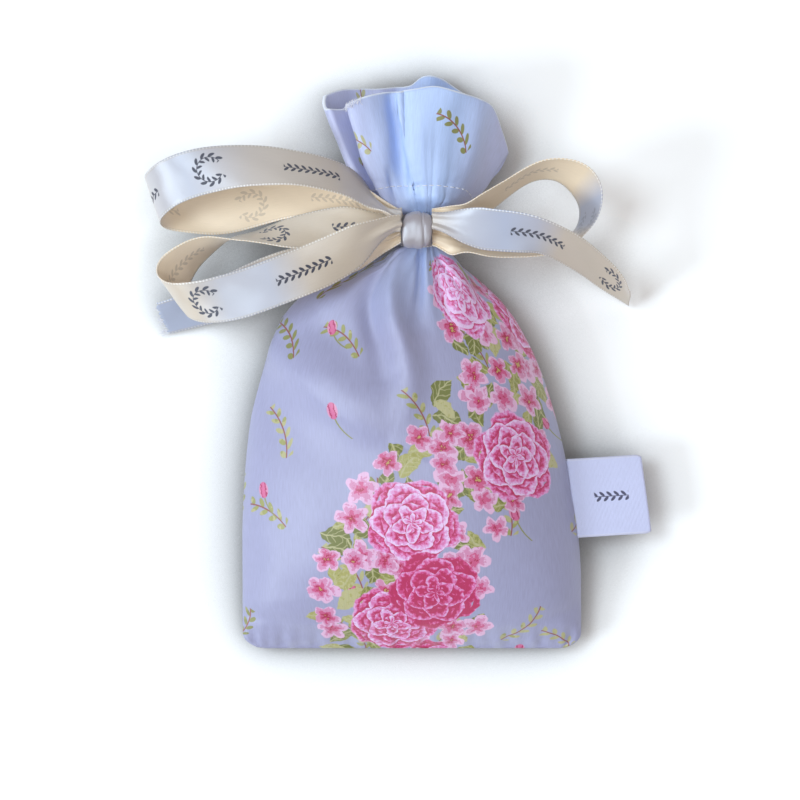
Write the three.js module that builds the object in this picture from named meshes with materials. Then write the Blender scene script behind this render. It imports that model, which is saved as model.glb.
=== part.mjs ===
// A lavender sachet lying on its back: a printed cotton bag of two panels, filled with dried
// lavender, gathered at the neck, tied with a satin ribbon bow, and with a folded label in its
// right side seam. Millimetres, +Z up out of the front face, +Y towards the open frill.
// The origin is the middle of the flat patch on which the bag lies.
import * as THREE from "three";

// Sizes of the bag
const bagWidth = 109; // seam to seam along the bottom
const bodyLength = 134; // bottom seam to the middle of the tied neck
const fillHeight = 36; // thickness of the filled body
const restShare = 0.406; // where the origin lies, as a share of the body's length
const clothWall = 0.5;
const hemWall = 1; // the hem is turned in, so the cloth is double there
const hemDepth = 38; // from the edge of the frill down to its line of stitches
const seamGap = 0.4; // between the two panels' edges
const flatDepth = 0.5; // how deep the underside is pressed flat

// Sizes of the tied neck and of the frill above it
const neckRadius = 7.5;
const neckHeight = 15; // of the neck's middle above the table
const neckShift = 2.5; // the neck leans this far to the right
const coreShare = 0.2; // of the neck's radius that the bunched cloth leaves open
const bunchShare = 0.2; // of the frill's length over which the bunched cloth opens out
const neckLength = 9.6; // along the bag, under the ribbon
const pleatCount = 14;
const pleatDepth = 0.9;
const frillLength = 51; // from the middle of the neck to the highest point of the edge
const frillReach = 31; // half the frill's width
const frillDepth = 26; // from its lowest to its highest fold

// Sizes of the filling and of the seam allowances inside
const fillClearance = 0.8;
const leastSlope = 0.4; // the clearance isn't widened further on steeper walls
const allowanceWidth = 6;
const allowanceWall = 0.8;
const allowanceInset = 1.3; // from the seam to the allowance's folded edge

// Sizes of the label
const labelReach = 24;
const labelWidth = 25.5;
const labelWall = 0.4;
const labelFoldGap = 0.5;
const labelShare = 0.361; // where it sits, as a share of the body's length
const labelAngle = 6.5; // degrees that it leans with the seam
const labelClearance = 0.9; // from the seam, so that it can turn there

// Sizes of the ribbon
const ribbonWidth = 15;
const ribbonWall = 0.4;
const wrapWidth = 9; // the ribbon is bunched where it goes round the neck
const wrapWall = 1;
const wrapClearance = 0.4;
const knotWidth = 8.6; // across the bow
const knotLength = 12; // along the bag
const knotDepth = 7;
const knotClearance = 0.7;
const knotShift = 1.6; // the knot's middle lies this far to the right of the bag's
const gatherLength = 18; // of the stretch beside the knot over which the ribbon is bunched
const gatherDepth = 0.3; // of the ribbon's small pleats beside the knot
const upperLoopReach = 81.8; // from the knot to the outermost edge, as for the others
const upperLoopDepth = 24;
const lowerLoopReach = 78;
const lowerLoopDepth = 24;
const rightLoopReach = 53.6;
const rightLoopDepth = 20;
const leftTailReach = 79;
const leftTailDepth = 22;
const rightTailReach = 65.5;
const rightTailDepth = 24;

// How finely the cloth is divided
const frontColumns = 24;
const backColumns = 18;
const ribbonSteps = 2; // between two stations
const pleatFolds = 4;

// Rows of the body, as shares: along the body, left and right edge (1 is the full half width
// and 0 the neck's), crown, seam and underside of the fill height.
const bodyShares = [
  [0, 1, 1, 0.215, 0.194, 0.173],
  [0.02, 1, 1, 0.31, 0.204, 0.12],
  [0.06, 1, 1, 0.49, 0.23, 0.035],
  [0.12, 1, 0.998, 0.67, 0.265, -0.005],
  [0.2, 1, 0.994, 0.82, 0.3, -0.014],
  [0.29, 1, 0.97, 0.93, 0.325, -0.014],
  [0.38, 0.99, 0.922, 0.98, 0.335, -0.014],
  [0.47, 0.972, 0.876, 1, 0.345, -0.014],
  [0.56, 0.94, 0.809, 0.995, 0.352, -0.014],
  [0.65, 0.879, 0.724, 0.965, 0.36, -0.014],
  [0.72, 0.824, 0.638, 0.92, 0.37, -0.008],
  [0.79, 0.741, 0.528, 0.86, 0.38, 0.015],
  [0.84, 0.626, 0.411, 0.805, 0.39, 0.05],
  [0.885, 0.43, 0.265, 0.745, 0.4, 0.09],
  [0.925, 0.2, 0.115, 0.69, 0.41, 0.14],
];
const seamRow = 2; // how high the seam has risen where the bottom allowance ends
const pressedRow = 5; // up to this row the front is pressed blunt towards the bottom seam
const roundRow = 9; // from this row on the section turns round towards the neck
const fillRow = 3; // the lavender starts here

// The section's bluntness on the front, on the back and at the round neck.
const frontBluntShare = 2.3;
const backBluntShare = 3;
const neckBluntShare = 2;
const bodySwellShare = 0.72;
const neckSwellShare = 0.5;

// The frill's edge, once round from the left seam over the front to the right seam and back,
// as shares: across (of the reach), along (of the length) and up (of the depth).
const hemShares = [
  [-1, 0.85, -0.05],
  [-0.99, 0.77, 0.14],
  [-0.9, 0.765, 0.24],
  [-0.66, 0.775, 0],
  [-0.76, 0.78, 0.5],
  [-0.55, 0.83, 0.58],
  [-0.31, 0.865, 0.42],
  [-0.17, 0.865, 0.36],
  [-0.03, 0.88, 0.5],
  [0.16, 0.895, 0.6],
  [0.38, 0.86, 0.6],
  [0.6, 0.825, 0.44],
  [0.75, 0.77, 0.24],
  [0.86, 0.62, 0.02],
  [0.92, 0.5, -0.13],
  [0.86, 0.6, -0.26],
  [0.62, 0.78, -0.36],
  [0.36, 0.92, -0.3],
  [0.1, 0.99, -0.2],
  [-0.08, 0.93, -0.3],
  [-0.24, 0.92, -0.38],
  [-0.42, 0.91, -0.32],
  [-0.62, 0.91, -0.38],
  [-0.82, 0.9, -0.32],
];
const hemRightSeam = 14; // the row of hemShares that lies on the right seam

// Rings of the frill, as shares of the way from the neck to its edge.
const frillShares = [0.03, 0.1, 0.22, 0.36, 0.52, 0.68, 0.84, 1];
const bulbShare = 0.5; // the frill leaves the neck sideways and then straightens
const pleatFadeShare = 0.35;

// Stations of the ribbon, read by hand from the photograph as pixels: the edge that is the
// upper one where the ribbon shows its printed face, then the other edge, then the height of
// the middle as a share of the stretch's depth. The last number says which edge is nearer.
const ribbonPixels = 47; // the ribbon's width in the photograph, seen square on
const knotPixels = [417, 233];
const upperLoopPixels = [
  [402, 216, 402, 222, 0.06, 0],
  [385, 211, 388, 219, 0.05, -0.7],
  [366, 184, 372, 212, -0.12, -0.8],
  [342, 165, 344, 198, 0.12, -1],
  [300, 155, 301, 191, 0.36, -1],
  [262, 150, 267, 190, 0.4, -1],
  [225, 150, 234, 193, 0.4, -1],
  [190, 155, 203, 200, 0.34, -1],
  [164, 164, 180, 209, 0.22, -1],
  [150, 174, 166, 219, 0.06, -1],
  [146, 181, 161, 226, -0.12, -1],
  [152, 188, 168, 232, -0.34, -1],
  [172, 191, 190, 235, -0.46, -1],
  [204, 192, 219, 237, -0.52, -1],
  [245, 186, 255, 229, -0.54, -1],
  [285, 179, 291, 218, -0.54, -0.8],
  [325, 183, 330, 216, -0.45, -0.5],
  [362, 197, 366, 216, -0.26, 0],
  [387, 211, 388, 218, -0.17, 0],
  [402, 218, 402, 224, -0.13, 0],
];
const lowerLoopPixels = [
  [401, 222, 401, 231, 0.15, 0],
  [390, 220, 393, 237, 0.19, 0.2],
  [368, 224, 377, 253, 0.26, 0.7],
  [343, 234, 356, 274, 0.32, 1],
  [308, 248, 323, 293, 0.42, 1],
  [275, 260, 290, 307, 0.48, 1],
  [244, 272, 257, 319, 0.48, 1],
  [213, 282, 226, 325, 0.42, 1],
  [188, 286, 205, 325, 0.32, 1],
  [169, 286, 191, 320, 0.16, 1],
  [158, 276, 185, 313, -0.06, 1],
  [160, 262, 184, 299, -0.24, 1],
  [174, 250, 190, 284, -0.34, 1],
  [191, 242, 198, 268, -0.38, 1],
  [210, 239, 213, 253, -0.38, 1],
  [232, 242, 232, 238, -0.34, 1],
  [256, 245, 254, 233, -0.27, 1],
  [284, 248, 279, 224, -0.16, 0.9],
  [318, 250, 311, 216, -0.08, 0.75],
  [348, 247, 339, 212, 0, 0.6],
  [374, 240, 369, 216, 0.04, 0.3],
  [390, 230, 388, 220, 0, 0.1],
  [401, 229, 401, 221, -0.02, 0],
];
const rightLoopPixels = [
  [432, 216, 432, 224, -0.02, 0],
  [447, 212, 449, 226, -0.08, 0.3],
  [462, 208, 474, 221, -0.14, 1],
  [480, 198, 493, 210, -0.14, 1],
  [501, 186, 511, 196, -0.18, 1],
  [523, 171, 529, 184, -0.18, 1],
  [543, 163, 545, 181, -0.12, 1],
  [567, 163, 559, 184, -0.06, 1],
  [588, 171, 571, 194, -0.04, 1],
  [599, 188, 578, 205, -0.08, 1],
  [600, 206, 580, 215, -0.18, 1],
  [595, 224, 578, 227, -0.34, 1],
  [582, 240, 571, 236, -0.5, 1],
  [564, 252, 558, 240, -0.56, 1],
  [540, 259, 538, 244, -0.54, 1],
  [512, 260, 512, 244, -0.42, 1],
  [486, 259, 488, 243, -0.28, 1],
  [462, 256, 464, 242, -0.14, 1],
  [446, 249, 447, 239, -0.08, 0],
  [432, 243, 432, 236, -0.08, 0],
];
const leftTailPixels = [
  [401, 233, 401, 241, -0.13, 0],
  [387, 236, 388, 250, -0.15, 0.2],
  [362, 238, 366, 262, -0.13, 0.3],
  [332, 240, 340, 273, -0.22, 0.4],
  [304, 247, 316, 286, -0.49, 1],
  [277, 254, 291, 294, -0.6, 1],
  [246, 266, 260, 307, -0.7, 1],
  [215, 281, 229, 320, -0.78, 1],
  [187, 295, 202, 326, -0.86, 1],
  [155, 305, 167, 335, -0.93, 1],
];
const rightTailPixels = [
  [432, 215, 432, 232, 0.1, 0],
  [447, 213, 447, 240, 0.14, 0],
  [468, 212, 469, 249, 0.22, 0.6],
  [492, 213, 494, 254, 0.28, 1],
  [517, 216, 518, 255, 0.3, 1],
  [543, 223, 536, 255, 0.26, 1],
  [567, 234, 555, 262, 0.1, 1],
  [589, 247, 577, 274, -0.14, 1],
  [610, 264, 598, 287, -0.44, 1],
  [626, 282, 616, 297, -0.6, 1],
  [637, 301, 631, 306, -0.74, 1],
];
const gatherEndShare = 0.35; // of the ribbon's width, where it enters the knot
const rightCutShare = 0.25; // how far the right tail is cut on the slant, of the ribbon's width

// The knot: where its slices lie across it, its barrel shape and the crease down its face.
const knotSliceShares = [-1, -0.9, -0.6, -0.1, 0.22, 0.34, 0.46, 0.8, 0.94, 1];
const knotBarrelShare = 0.16;
const knotCreaseShares = { at: 0.34, width: 0.08, depth: 0.1 };
const knotRoundness = { y: 0.7, z: 0.8 };

const halfWidth = bagWidth / 2;
const bottomY = -restShare * bodyLength;
const neckY = bottomY + bodyLength;
const neckStartShare = 1 - neckLength / 2 / bodyLength;
const leftNeckEdge = neckRadius - neckShift;
const rightNeckEdge = neckRadius + neckShift;
const frillBaseY = neckY + neckLength / 2;

const clamp = (value, low, high) => Math.min(high, Math.max(low, value));
const mix = (from, to, share) => from + (to - from) * share;

function smooth(low, high, value) {
  const share = clamp((value - low) / (high - low), 0, 1);
  return share * share * (3 - 2 * share);
}

// One value of a uniform Catmull-Rom curve through four neighbouring values.
function catmull(a, b, c, d, share) {
  const square = share * share;
  const cube = square * share;
  return 0.5 * (2 * b + (c - a) * share + (2 * a - 5 * b + 4 * c - d) * square
    + (3 * b - a - 3 * c + d) * cube);
}

// A row between the rows of a table, at a place counted in rows.
function rowAt(rows, place, closed = false) {
  const count = rows.length;
  const base = Math.floor(place);
  const pick = (index) => (closed ? rows[(index + count) % count] : rows[clamp(index, 0, count - 1)]);
  const near = [-1, 0, 1, 2].map((step) => pick(base + step));
  return near[1].map((unused, column) => catmull(...near.map((row) => row[column]), place - base));
}

// The body's row at a share of its length. Past the last row the body runs into the neck.
function bodyRow(along) {
  const neck = [neckStartShare, 0, 0, (neckHeight + neckRadius) / fillHeight, neckHeight / fillHeight,
    (neckHeight - neckRadius) / fillHeight];
  const rows = [...bodyShares, neck, [1, ...neck.slice(1)]];
  if (along >= neckStartShare) return neck;
  let index = 0;
  while (rows[index + 1][0] < along) index += 1;
  const share = (along - rows[index][0]) / (rows[index + 1][0] - rows[index][0]);
  return rowAt(rows, index + share);
}

// A ring of the bag: once round from the left seam over the front to the right seam and back.
function bodyPoint(along, turn) {
  const [, left, right, crown, seam, under] = bodyRow(Math.min(along, neckStartShare));
  const round = smooth(bodyShares[roundRow][0], neckStartShare, along);
  const pressed = 1 - smooth(0, bodyShares[pressedRow][0], along);
  const angle = 2 * Math.PI * turn;
  const across = -Math.cos(angle);
  const front = Math.sin(angle) >= 0;
  const blunt = mix(front ? frontBluntShare : backBluntShare, neckBluntShare, round) + 2 * pressed;
  const swell = (1 - Math.abs(across) ** blunt) ** mix(bodySwellShare, neckSwellShare, round);
  const leftEdge = mix(leftNeckEdge, halfWidth, left);
  const rightEdge = mix(rightNeckEdge, halfWidth, right);
  const height = front ? mix(seam, crown, swell) : mix(seam, under, swell);
  const pleat = pleatDepth * round * (Math.cos(pleatCount * angle) - 1) / 2;
  const middle = (rightEdge - leftEdge) / 2;
  const x = middle + across * ((rightEdge + leftEdge) / 2 + pleat);
  const z = fillHeight * height + pleat * Math.sin(angle);
  return new THREE.Vector3(x, bottomY + along * bodyLength, Math.max(0, z));
}

// The frill's edge, a smooth closed curve through hemShares.
function hemPoint(turn) {
  const backRows = hemShares.length - hemRightSeam;
  const place = turn <= 0.5 ? 2 * turn * hemRightSeam : hemRightSeam + (2 * turn - 1) * backRows;
  const [across, along, up] = rowAt(hemShares, place % hemShares.length, true);
  return new THREE.Vector3(
    neckShift + across * frillReach,
    neckY + along * frillLength,
    neckHeight + up * frillDepth,
  );
}

function frillPoint(rise, turn) {
  const neck = bodyPoint(1, turn);
  const edge = hemPoint(turn);
  const spread = rise ** bulbShare;
  const pleat = 1 - smooth(0, pleatFadeShare, rise);
  const ripple = pleatDepth * pleat * (1 - Math.cos(pleatCount * 2 * Math.PI * turn)) / 2;
  return new THREE.Vector3(
    mix(neck.x, edge.x, spread) + ripple * Math.cos(2 * Math.PI * turn),
    mix(frillBaseY, edge.y, rise),
    mix(neck.z, edge.z, spread) - ripple * Math.sin(2 * Math.PI * turn),
  );
}

// The rings of the bag from the bottom seam to the frill's edge, each a function of the turn.
function bagRings() {
  const lastShare = bodyShares[bodyShares.length - 1][0];
  const neckEndShare = 2 - neckStartShare;
  const body = bodyShares.map((row) => row[0]);
  const neck = [(lastShare + neckStartShare) / 2, neckStartShare, neckEndShare];
  return [
    ...[...body, ...neck].map((along) => ({
      at: (turn) => bodyPoint(along, turn),
      wall: clothWall,
      bunch: smooth(lastShare, neckStartShare, along),
      flat: true,
    })),
    ...frillShares.map((rise) => ({
      at: (turn) => frillPoint(rise, turn),
      wall: (1 - rise) * frillLength < hemDepth ? hemWall : clothWall,
      bunch: 1 - smooth(0, bunchShare, rise),
    })),
  ];
}

// Turns a geometry's faces outwards if they point in.
function outward(geometry) {
  const at = geometry.getAttribute("position");
  const index = geometry.getIndex().array;
  const [a, b, c] = [new THREE.Vector3(), new THREE.Vector3(), new THREE.Vector3()];
  let volume = 0;
  for (let i = 0; i < index.length; i += 3) {
    a.fromBufferAttribute(at, index[i]);
    b.fromBufferAttribute(at, index[i + 1]);
    c.fromBufferAttribute(at, index[i + 2]);
    volume += a.dot(b.cross(c));
  }
  if (volume < 0) geometry.setIndex([...index].reverse());
  geometry.computeVertexNormals();
  return geometry;
}

// A closed sheet between two grids of points with as many rows and columns.
function sheetGeometry(outer, inner) {
  const rows = outer.length;
  const columns = outer[0].length;
  const points = [...outer.flat(), ...inner.flat()];
  const index = [];
  const quad = (a, b, c, d) => index.push(a, b, c, a, c, d);
  const over = (row, column) => row * columns + column;
  const under = (row, column) => rows * columns + row * columns + column;
  for (let row = 0; row < rows - 1; row += 1) {
    const next = row + 1;
    for (let column = 0; column < columns - 1; column += 1) {
      quad(over(row, column), over(row, column + 1), over(next, column + 1), over(next, column));
      quad(under(row, column), under(next, column), under(next, column + 1), under(row, column + 1));
    }
    quad(over(row, 0), over(next, 0), under(next, 0), under(row, 0));
    const last = columns - 1;
    quad(over(row, last), under(row, last), under(next, last), over(next, last));
  }
  for (let column = 0; column < columns - 1; column += 1) {
    const next = column + 1;
    quad(over(0, column), under(0, column), under(0, next), over(0, next));
    const last = rows - 1;
    quad(over(last, column), over(last, next), under(last, next), under(last, column));
  }
  const geometry = new THREE.BufferGeometry().setFromPoints(points);
  geometry.setIndex(index);
  return outward(geometry);
}

// A solid through closed rings of as many points each, with both ends closed.
function ringGeometry(rings) {
  const count = rings[0].length;
  const sumOf = (ring) => ring.reduce((sum, point) => sum.add(point), new THREE.Vector3());
  const middleOf = (ring) => sumOf(ring).divideScalar(count);
  const points = [...rings.flat(), middleOf(rings[0]), middleOf(rings[rings.length - 1])];
  const index = [];
  for (let i = 0; i < count; i += 1) {
    const next = (i + 1) % count;
    for (let row = 0; row < rings.length - 1; row += 1) {
      const here = row * count;
      const above = here + count;
      index.push(here + i, here + next, above + next, here + i, above + next, above + i);
    }
    const top = (rings.length - 1) * count;
    index.push(points.length - 2, next, i);
    index.push(points.length - 1, top + i, top + next);
  }
  const geometry = new THREE.BufferGeometry().setFromPoints(points);
  geometry.setIndex(index);
  return outward(geometry);
}

// The points of one ring and how its surface faces there, found from its neighbours.
const probe = 1e-3;
function facing(rings, row, turn) {
  const before = rings[Math.max(0, row - 1)];
  const after = rings[Math.min(rings.length - 1, row + 1)];
  const round = rings[row].at(turn + probe).sub(rings[row].at(turn - probe));
  const along = after.at(turn).sub(before.at(turn));
  return round.cross(along).normalize();
}

// One panel of the bag, from its left seam to its right seam for the front, and back again.
function panelGeometry(rings, startTurn, endTurn, columns) {
  const outer = [];
  const inner = [];
  rings.forEach((ring, row) => {
    const outerRow = [];
    const innerRow = [];
    for (let column = 0; column <= columns; column += 1) {
      const turn = mix(startTurn, endTurn, column / columns);
      const point = ring.at(turn);
      const away = facing(rings, row, turn);
      if (column === 0 || column === columns) {
        const inwards = column === 0 ? probe : -probe;
        const slip = ring.at(turn + inwards).sub(ring.at(turn - inwards)).setLength(seamGap / 2);
        point.add(slip);
      }
      const middle = ring.at(0).add(ring.at(0.5)).multiplyScalar(0.5);
      const core = point.clone().lerp(middle, 1 - coreShare);
      const inside = point.clone().addScaledVector(away, -ring.wall).lerp(core, ring.bunch);
      const over = ring.at(startTurn).z - inside.z;
      const need = startTurn === 0 ? Math.max(0, over + seamGap / 2) : Math.min(0, over - seamGap / 2);
      if (ring.flat) [point, inside].forEach((p) => p.setZ(p.z + need));
      outerRow.push(point);
      innerRow.push(inside);
    }
    outer.push(outerRow);
    inner.push(innerRow);
  });
  return sheetGeometry(outer, inner);
}

// The dried lavender: the inside of the bag, kept clear of the seam allowances.
function fillingGeometry(rings) {
  const inset = clothWall + fillClearance;
  const margin = allowanceInset + allowanceWidth + fillClearance;
  const lastRow = bodyShares.length - 1;
  const count = 2 * backColumns;
  const filled = [];
  for (let row = fillRow; row <= lastRow; row += 1) {
    const half = (rings[row].at(0.5).x - rings[row].at(0).x) / 2;
    const points = [];
    for (let step = 0; step < count; step += 1) {
      const angle = (2 * Math.PI * step) / count;
      const across = -Math.cos(angle) * (1 - margin / half);
      const halfTurn = Math.acos(-across) / (2 * Math.PI);
      const turn = Math.sin(angle) >= 0 ? halfTurn : 1 - halfTurn;
      const point = rings[row].at(turn);
      const slope = facing(rings, row, turn).z;
      point.z -= (Math.sign(slope) * inset) / Math.max(Math.abs(slope), leastSlope);
      points.push(point);
    }
    filled.push(points);
  }
  return ringGeometry(filled);
}

// A strip of doubled cloth inside the bag, along one of its seams.
function allowanceGeometry(edges) {
  const lift = new THREE.Vector3(0, 0, allowanceWall / 2);
  const above = edges.map((pair) => pair.map((p) => p.clone().add(lift)));
  const below = edges.map((pair) => pair.map((p) => p.clone().sub(lift)));
  return sheetGeometry(above, below);
}

function sideAllowance(turn, inwards) {
  const rows = bodyShares.slice(seamRow, -1);
  const edges = rows.map(([along]) => {
    const seam = bodyPoint(along, turn);
    const reach = (inset) => seam.clone().add(new THREE.Vector3(inwards * inset, 0, 0));
    return [reach(allowanceInset), reach(allowanceInset + allowanceWidth)];
  });
  return allowanceGeometry(edges);
}

function bottomAllowance() {
  const margin = 2 * allowanceInset + allowanceWidth;
  const seam = bodyPoint(0, 0).z;
  const inside = bodyPoint(bodyShares[seamRow][0], 0).z;
  const corner = (side, inset, z) => new THREE.Vector3(side * (halfWidth - margin), bottomY + inset, z);
  const edges = [-1, 1].map((side) => [
    corner(side, allowanceInset, seam),
    corner(side, allowanceInset + allowanceWidth, inside),
  ]);
  return allowanceGeometry(edges);
}

// A strip of cloth folded in half, with its fold at the outer edge and its ends at the seam.
function labelGeometry() {
  const half = labelFoldGap / 2;
  const radius = half + labelWall;
  const reach = labelReach - radius;
  const outline = new THREE.Shape();
  outline.moveTo(0, half);
  outline.lineTo(reach, half);
  outline.absarc(reach, 0, half, Math.PI / 2, -Math.PI / 2, true);
  outline.lineTo(0, -half);
  outline.lineTo(half, -radius);
  outline.lineTo(reach, -radius);
  outline.absarc(reach, 0, radius, -Math.PI / 2, Math.PI / 2, false);
  outline.lineTo(half, radius);
  outline.closePath();
  const geometry = new THREE.ExtrudeGeometry(outline, {
    depth: labelWidth,
    bevelEnabled: false,
    curveSegments: 6,
    steps: 1,
  });
  geometry.translate(labelClearance, 0, -labelWidth / 2);
  return geometry.rotateX(Math.PI / 2);
}

const wrapOuterRadius = neckRadius + wrapClearance + wrapWall;
const knotBase = neckHeight + wrapOuterRadius + knotClearance;
const knotHeight = knotBase + knotDepth / 2;

// One station of the ribbon: its middle, the direction across it and how bunched it is.
function ribbonStation([x1, y1, x2, y2, rise, near], reach, depth, farPixels) {
  const scale = reach / farPixels;
  const side = Math.sign((x1 + x2) / 2 - knotPixels[0]);
  const edge = knotWidth / 2 + knotClearance;
  const startPixels = knotPixels[0] + side * edge * (ribbonPixels / ribbonWidth);
  const start = knotShift + side * edge;
  const middle = new THREE.Vector3(
    start + ((x1 + x2) / 2 - startPixels) * scale,
    neckY - ((y1 + y2) / 2 - knotPixels[1]) * scale,
    knotHeight + rise * depth,
  );
  const flat = new THREE.Vector2(x1 - x2, y2 - y1).divideScalar(ribbonPixels);
  const seen = Math.min(1, flat.length());
  const tilt = near * Math.sqrt(1 - seen * seen);
  const across = new THREE.Vector3(flat.x, flat.y, tilt).normalize();
  return { middle, across };
}

// A stretch of ribbon through its stations. Each end that is tied is bunched into small pleats.
function ribbonGeometry(pixels, reach, depth, tiedEnds, endCut = 0) {
  const offsets = pixels.flatMap((row) => [row[0] - knotPixels[0], row[2] - knotPixels[0]]);
  const far = Math.max(...offsets.map(Math.abs));
  const edge = knotWidth / 2 + knotClearance;
  const farPixels = far - edge * (ribbonPixels / ribbonWidth);
  const stations = pixels.map((row) => ribbonStation(row, reach, depth, farPixels));
  const table = stations.map(({ middle, across }) => [...middle.toArray(), ...across.toArray()]);
  const count = (stations.length - 1) * ribbonSteps;
  const samples = [];
  for (let step = 0; step <= count; step += 1) {
    const row = rowAt(table, step / ribbonSteps);
    const middle = new THREE.Vector3(...row.slice(0, 3));
    const across = new THREE.Vector3(...row.slice(3)).normalize();
    samples.push({ middle, across });
  }
  const above = [];
  const below = [];
  samples.forEach(({ middle, across }, step) => {
    const before = samples[Math.max(0, step - 1)].middle;
    const after = samples[Math.min(count, step + 1)].middle;
    const along = after.clone().sub(before).normalize();
    const away = along.clone().cross(across).normalize();
    const fromStart = middle.distanceTo(samples[0].middle);
    const fromEnd = middle.distanceTo(samples[count].middle);
    const near = Math.min(fromStart, tiedEnds === 2 ? fromEnd : Infinity);
    const open = smooth(0, gatherLength, near);
    const width = ribbonWidth * mix(gatherEndShare, 1, open);
    const cut = endCut * smooth(count - 1, count, step);
    const rowAbove = [];
    const rowBelow = [];
    for (let fold = 0; fold <= pleatFolds; fold += 1) {
      const place = fold / pleatFolds - 0.5;
      const pleat = gatherDepth * (1 - open) * (fold % 2 ? -1 : 1);
      const point = middle.clone().addScaledVector(across, place * width)
        .addScaledVector(along, -cut * (0.5 + place) * width)
        .addScaledVector(away, pleat);
      rowAbove.push(point.clone().addScaledVector(away, ribbonWall / 2));
      rowBelow.push(point.clone().addScaledVector(away, -ribbonWall / 2));
    }
    above.push(rowAbove);
    below.push(rowBelow);
  });
  return sheetGeometry(above, below);
}

// The ribbon where it goes round the neck, bunched and slightly barrelled.
function wrapGeometry() {
  const inner = neckRadius + wrapClearance;
  const half = wrapWidth / 2;
  const corner = wrapWall / 2;
  const profile = [
    [inner, -half],
    [inner + corner, -half],
    [wrapOuterRadius, corner - half],
    [wrapOuterRadius, half - corner],
    [inner + corner, half],
    [inner, half],
    [inner, -half],
  ].map(([radius, y]) => new THREE.Vector2(radius, y));
  return new THREE.LatheGeometry(profile, 36);
}

// The knot: the ribbon wrapped once over the middle of the bow, with a crease down its face.
function knotGeometry() {
  const rounds = 28;
  const { at, width, depth } = knotCreaseShares;
  const rings = knotSliceShares.map((slice) => {
    const barrel = 1 - knotBarrelShare * (1 - (1 - Math.abs(slice) ** 4) ** 0.5);
    const crease = 1 - depth * Math.exp(-(((slice - at) / width) ** 2));
    const ring = [];
    for (let step = 0; step < rounds; step += 1) {
      const angle = (2 * Math.PI * step) / rounds;
      const [cos, sin] = [Math.cos(angle), Math.sin(angle)];
      const y = Math.sign(cos) * Math.abs(cos) ** knotRoundness.y * (knotLength / 2);
      const z = Math.sign(sin) * Math.abs(sin) ** knotRoundness.z * (knotDepth / 2);
      ring.push(new THREE.Vector3(slice * (knotWidth / 2), y * barrel * crease, z * barrel * crease));
    }
    return ring;
  });
  return ringGeometry(rings);
}

const cotton = new THREE.MeshStandardMaterial({ color: 0xe9e6f7, roughness: 0.75, metalness: 0 });
const satin = new THREE.MeshStandardMaterial({ color: 0xdccfbb, roughness: 0.4, metalness: 0 });
const tape = new THREE.MeshStandardMaterial({ color: 0xe6e8f8, roughness: 0.7, metalness: 0 });
const lavender = new THREE.MeshStandardMaterial({ color: 0x6f5f96, roughness: 0.95, metalness: 0 });

const sachet = new THREE.Group();

function add(name, geometry, material, place = new THREE.Vector3(), angle = 0) {
  const mesh = new THREE.Mesh(geometry, material);
  mesh.name = name;
  mesh.position.copy(place);
  mesh.rotation.z = angle;
  sachet.add(mesh);
}

const rings = bagRings();
add("front_panel", panelGeometry(rings, 0, 0.5, frontColumns), cotton);
add("back_panel", panelGeometry(rings, 0.5, 1, backColumns), cotton);
add("lavender_filling", fillingGeometry(rings), lavender);
add("left_seam_allowance", sideAllowance(0, 1), cotton);
add("right_seam_allowance", sideAllowance(0.5, -1), cotton);
add("bottom_seam_allowance", bottomAllowance(), cotton);

const labelLean = THREE.MathUtils.degToRad(labelAngle);
add("side_label", labelGeometry(), tape, bodyPoint(labelShare, 0.5), labelLean);

const neckMiddle = new THREE.Vector3(neckShift, neckY, neckHeight);
add("ribbon_neck_wrap", wrapGeometry(), satin, neckMiddle);
add("ribbon_knot", knotGeometry(), satin, new THREE.Vector3(knotShift, neckY, knotHeight));
add("ribbon_upper_loop", ribbonGeometry(upperLoopPixels, upperLoopReach, upperLoopDepth, 2), satin);
add("ribbon_lower_loop", ribbonGeometry(lowerLoopPixels, lowerLoopReach, lowerLoopDepth, 2), satin);
add("ribbon_right_loop", ribbonGeometry(rightLoopPixels, rightLoopReach, rightLoopDepth, 2), satin);
add("ribbon_left_tail", ribbonGeometry(leftTailPixels, leftTailReach, leftTailDepth, 1), satin);
const rightTail = ribbonGeometry(rightTailPixels, rightTailReach, rightTailDepth, 1, rightCutShare);
add("ribbon_right_tail", rightTail, satin);

export default sachet;
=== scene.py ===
"""A lavender sachet lying on its back, dressed around its solid frame.

Lengths are in millimetres up to the point where a mesh is made, and then in metres.
"""

import math

import bpy
import numpy as np
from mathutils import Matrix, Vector


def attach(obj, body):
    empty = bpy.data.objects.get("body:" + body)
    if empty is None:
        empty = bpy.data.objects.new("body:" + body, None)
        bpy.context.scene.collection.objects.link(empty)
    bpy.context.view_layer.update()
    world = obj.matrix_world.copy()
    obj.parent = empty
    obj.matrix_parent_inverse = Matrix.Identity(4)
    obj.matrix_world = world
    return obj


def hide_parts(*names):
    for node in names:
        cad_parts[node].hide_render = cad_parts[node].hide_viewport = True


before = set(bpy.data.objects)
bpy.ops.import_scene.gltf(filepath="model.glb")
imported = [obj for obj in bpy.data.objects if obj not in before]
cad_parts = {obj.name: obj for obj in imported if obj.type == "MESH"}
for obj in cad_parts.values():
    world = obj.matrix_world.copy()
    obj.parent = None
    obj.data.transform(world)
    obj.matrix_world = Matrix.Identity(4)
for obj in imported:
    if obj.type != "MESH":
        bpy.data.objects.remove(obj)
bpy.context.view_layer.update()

MM = 0.001
PIXEL = 0.32  # what one pixel of the photograph shows
PHOTO_SIZE = 800  # pixels
UV_UNIT = 100
TABLE_GAP = 0.02
FULL_TURN = 6.283  # for angles in the print

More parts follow.
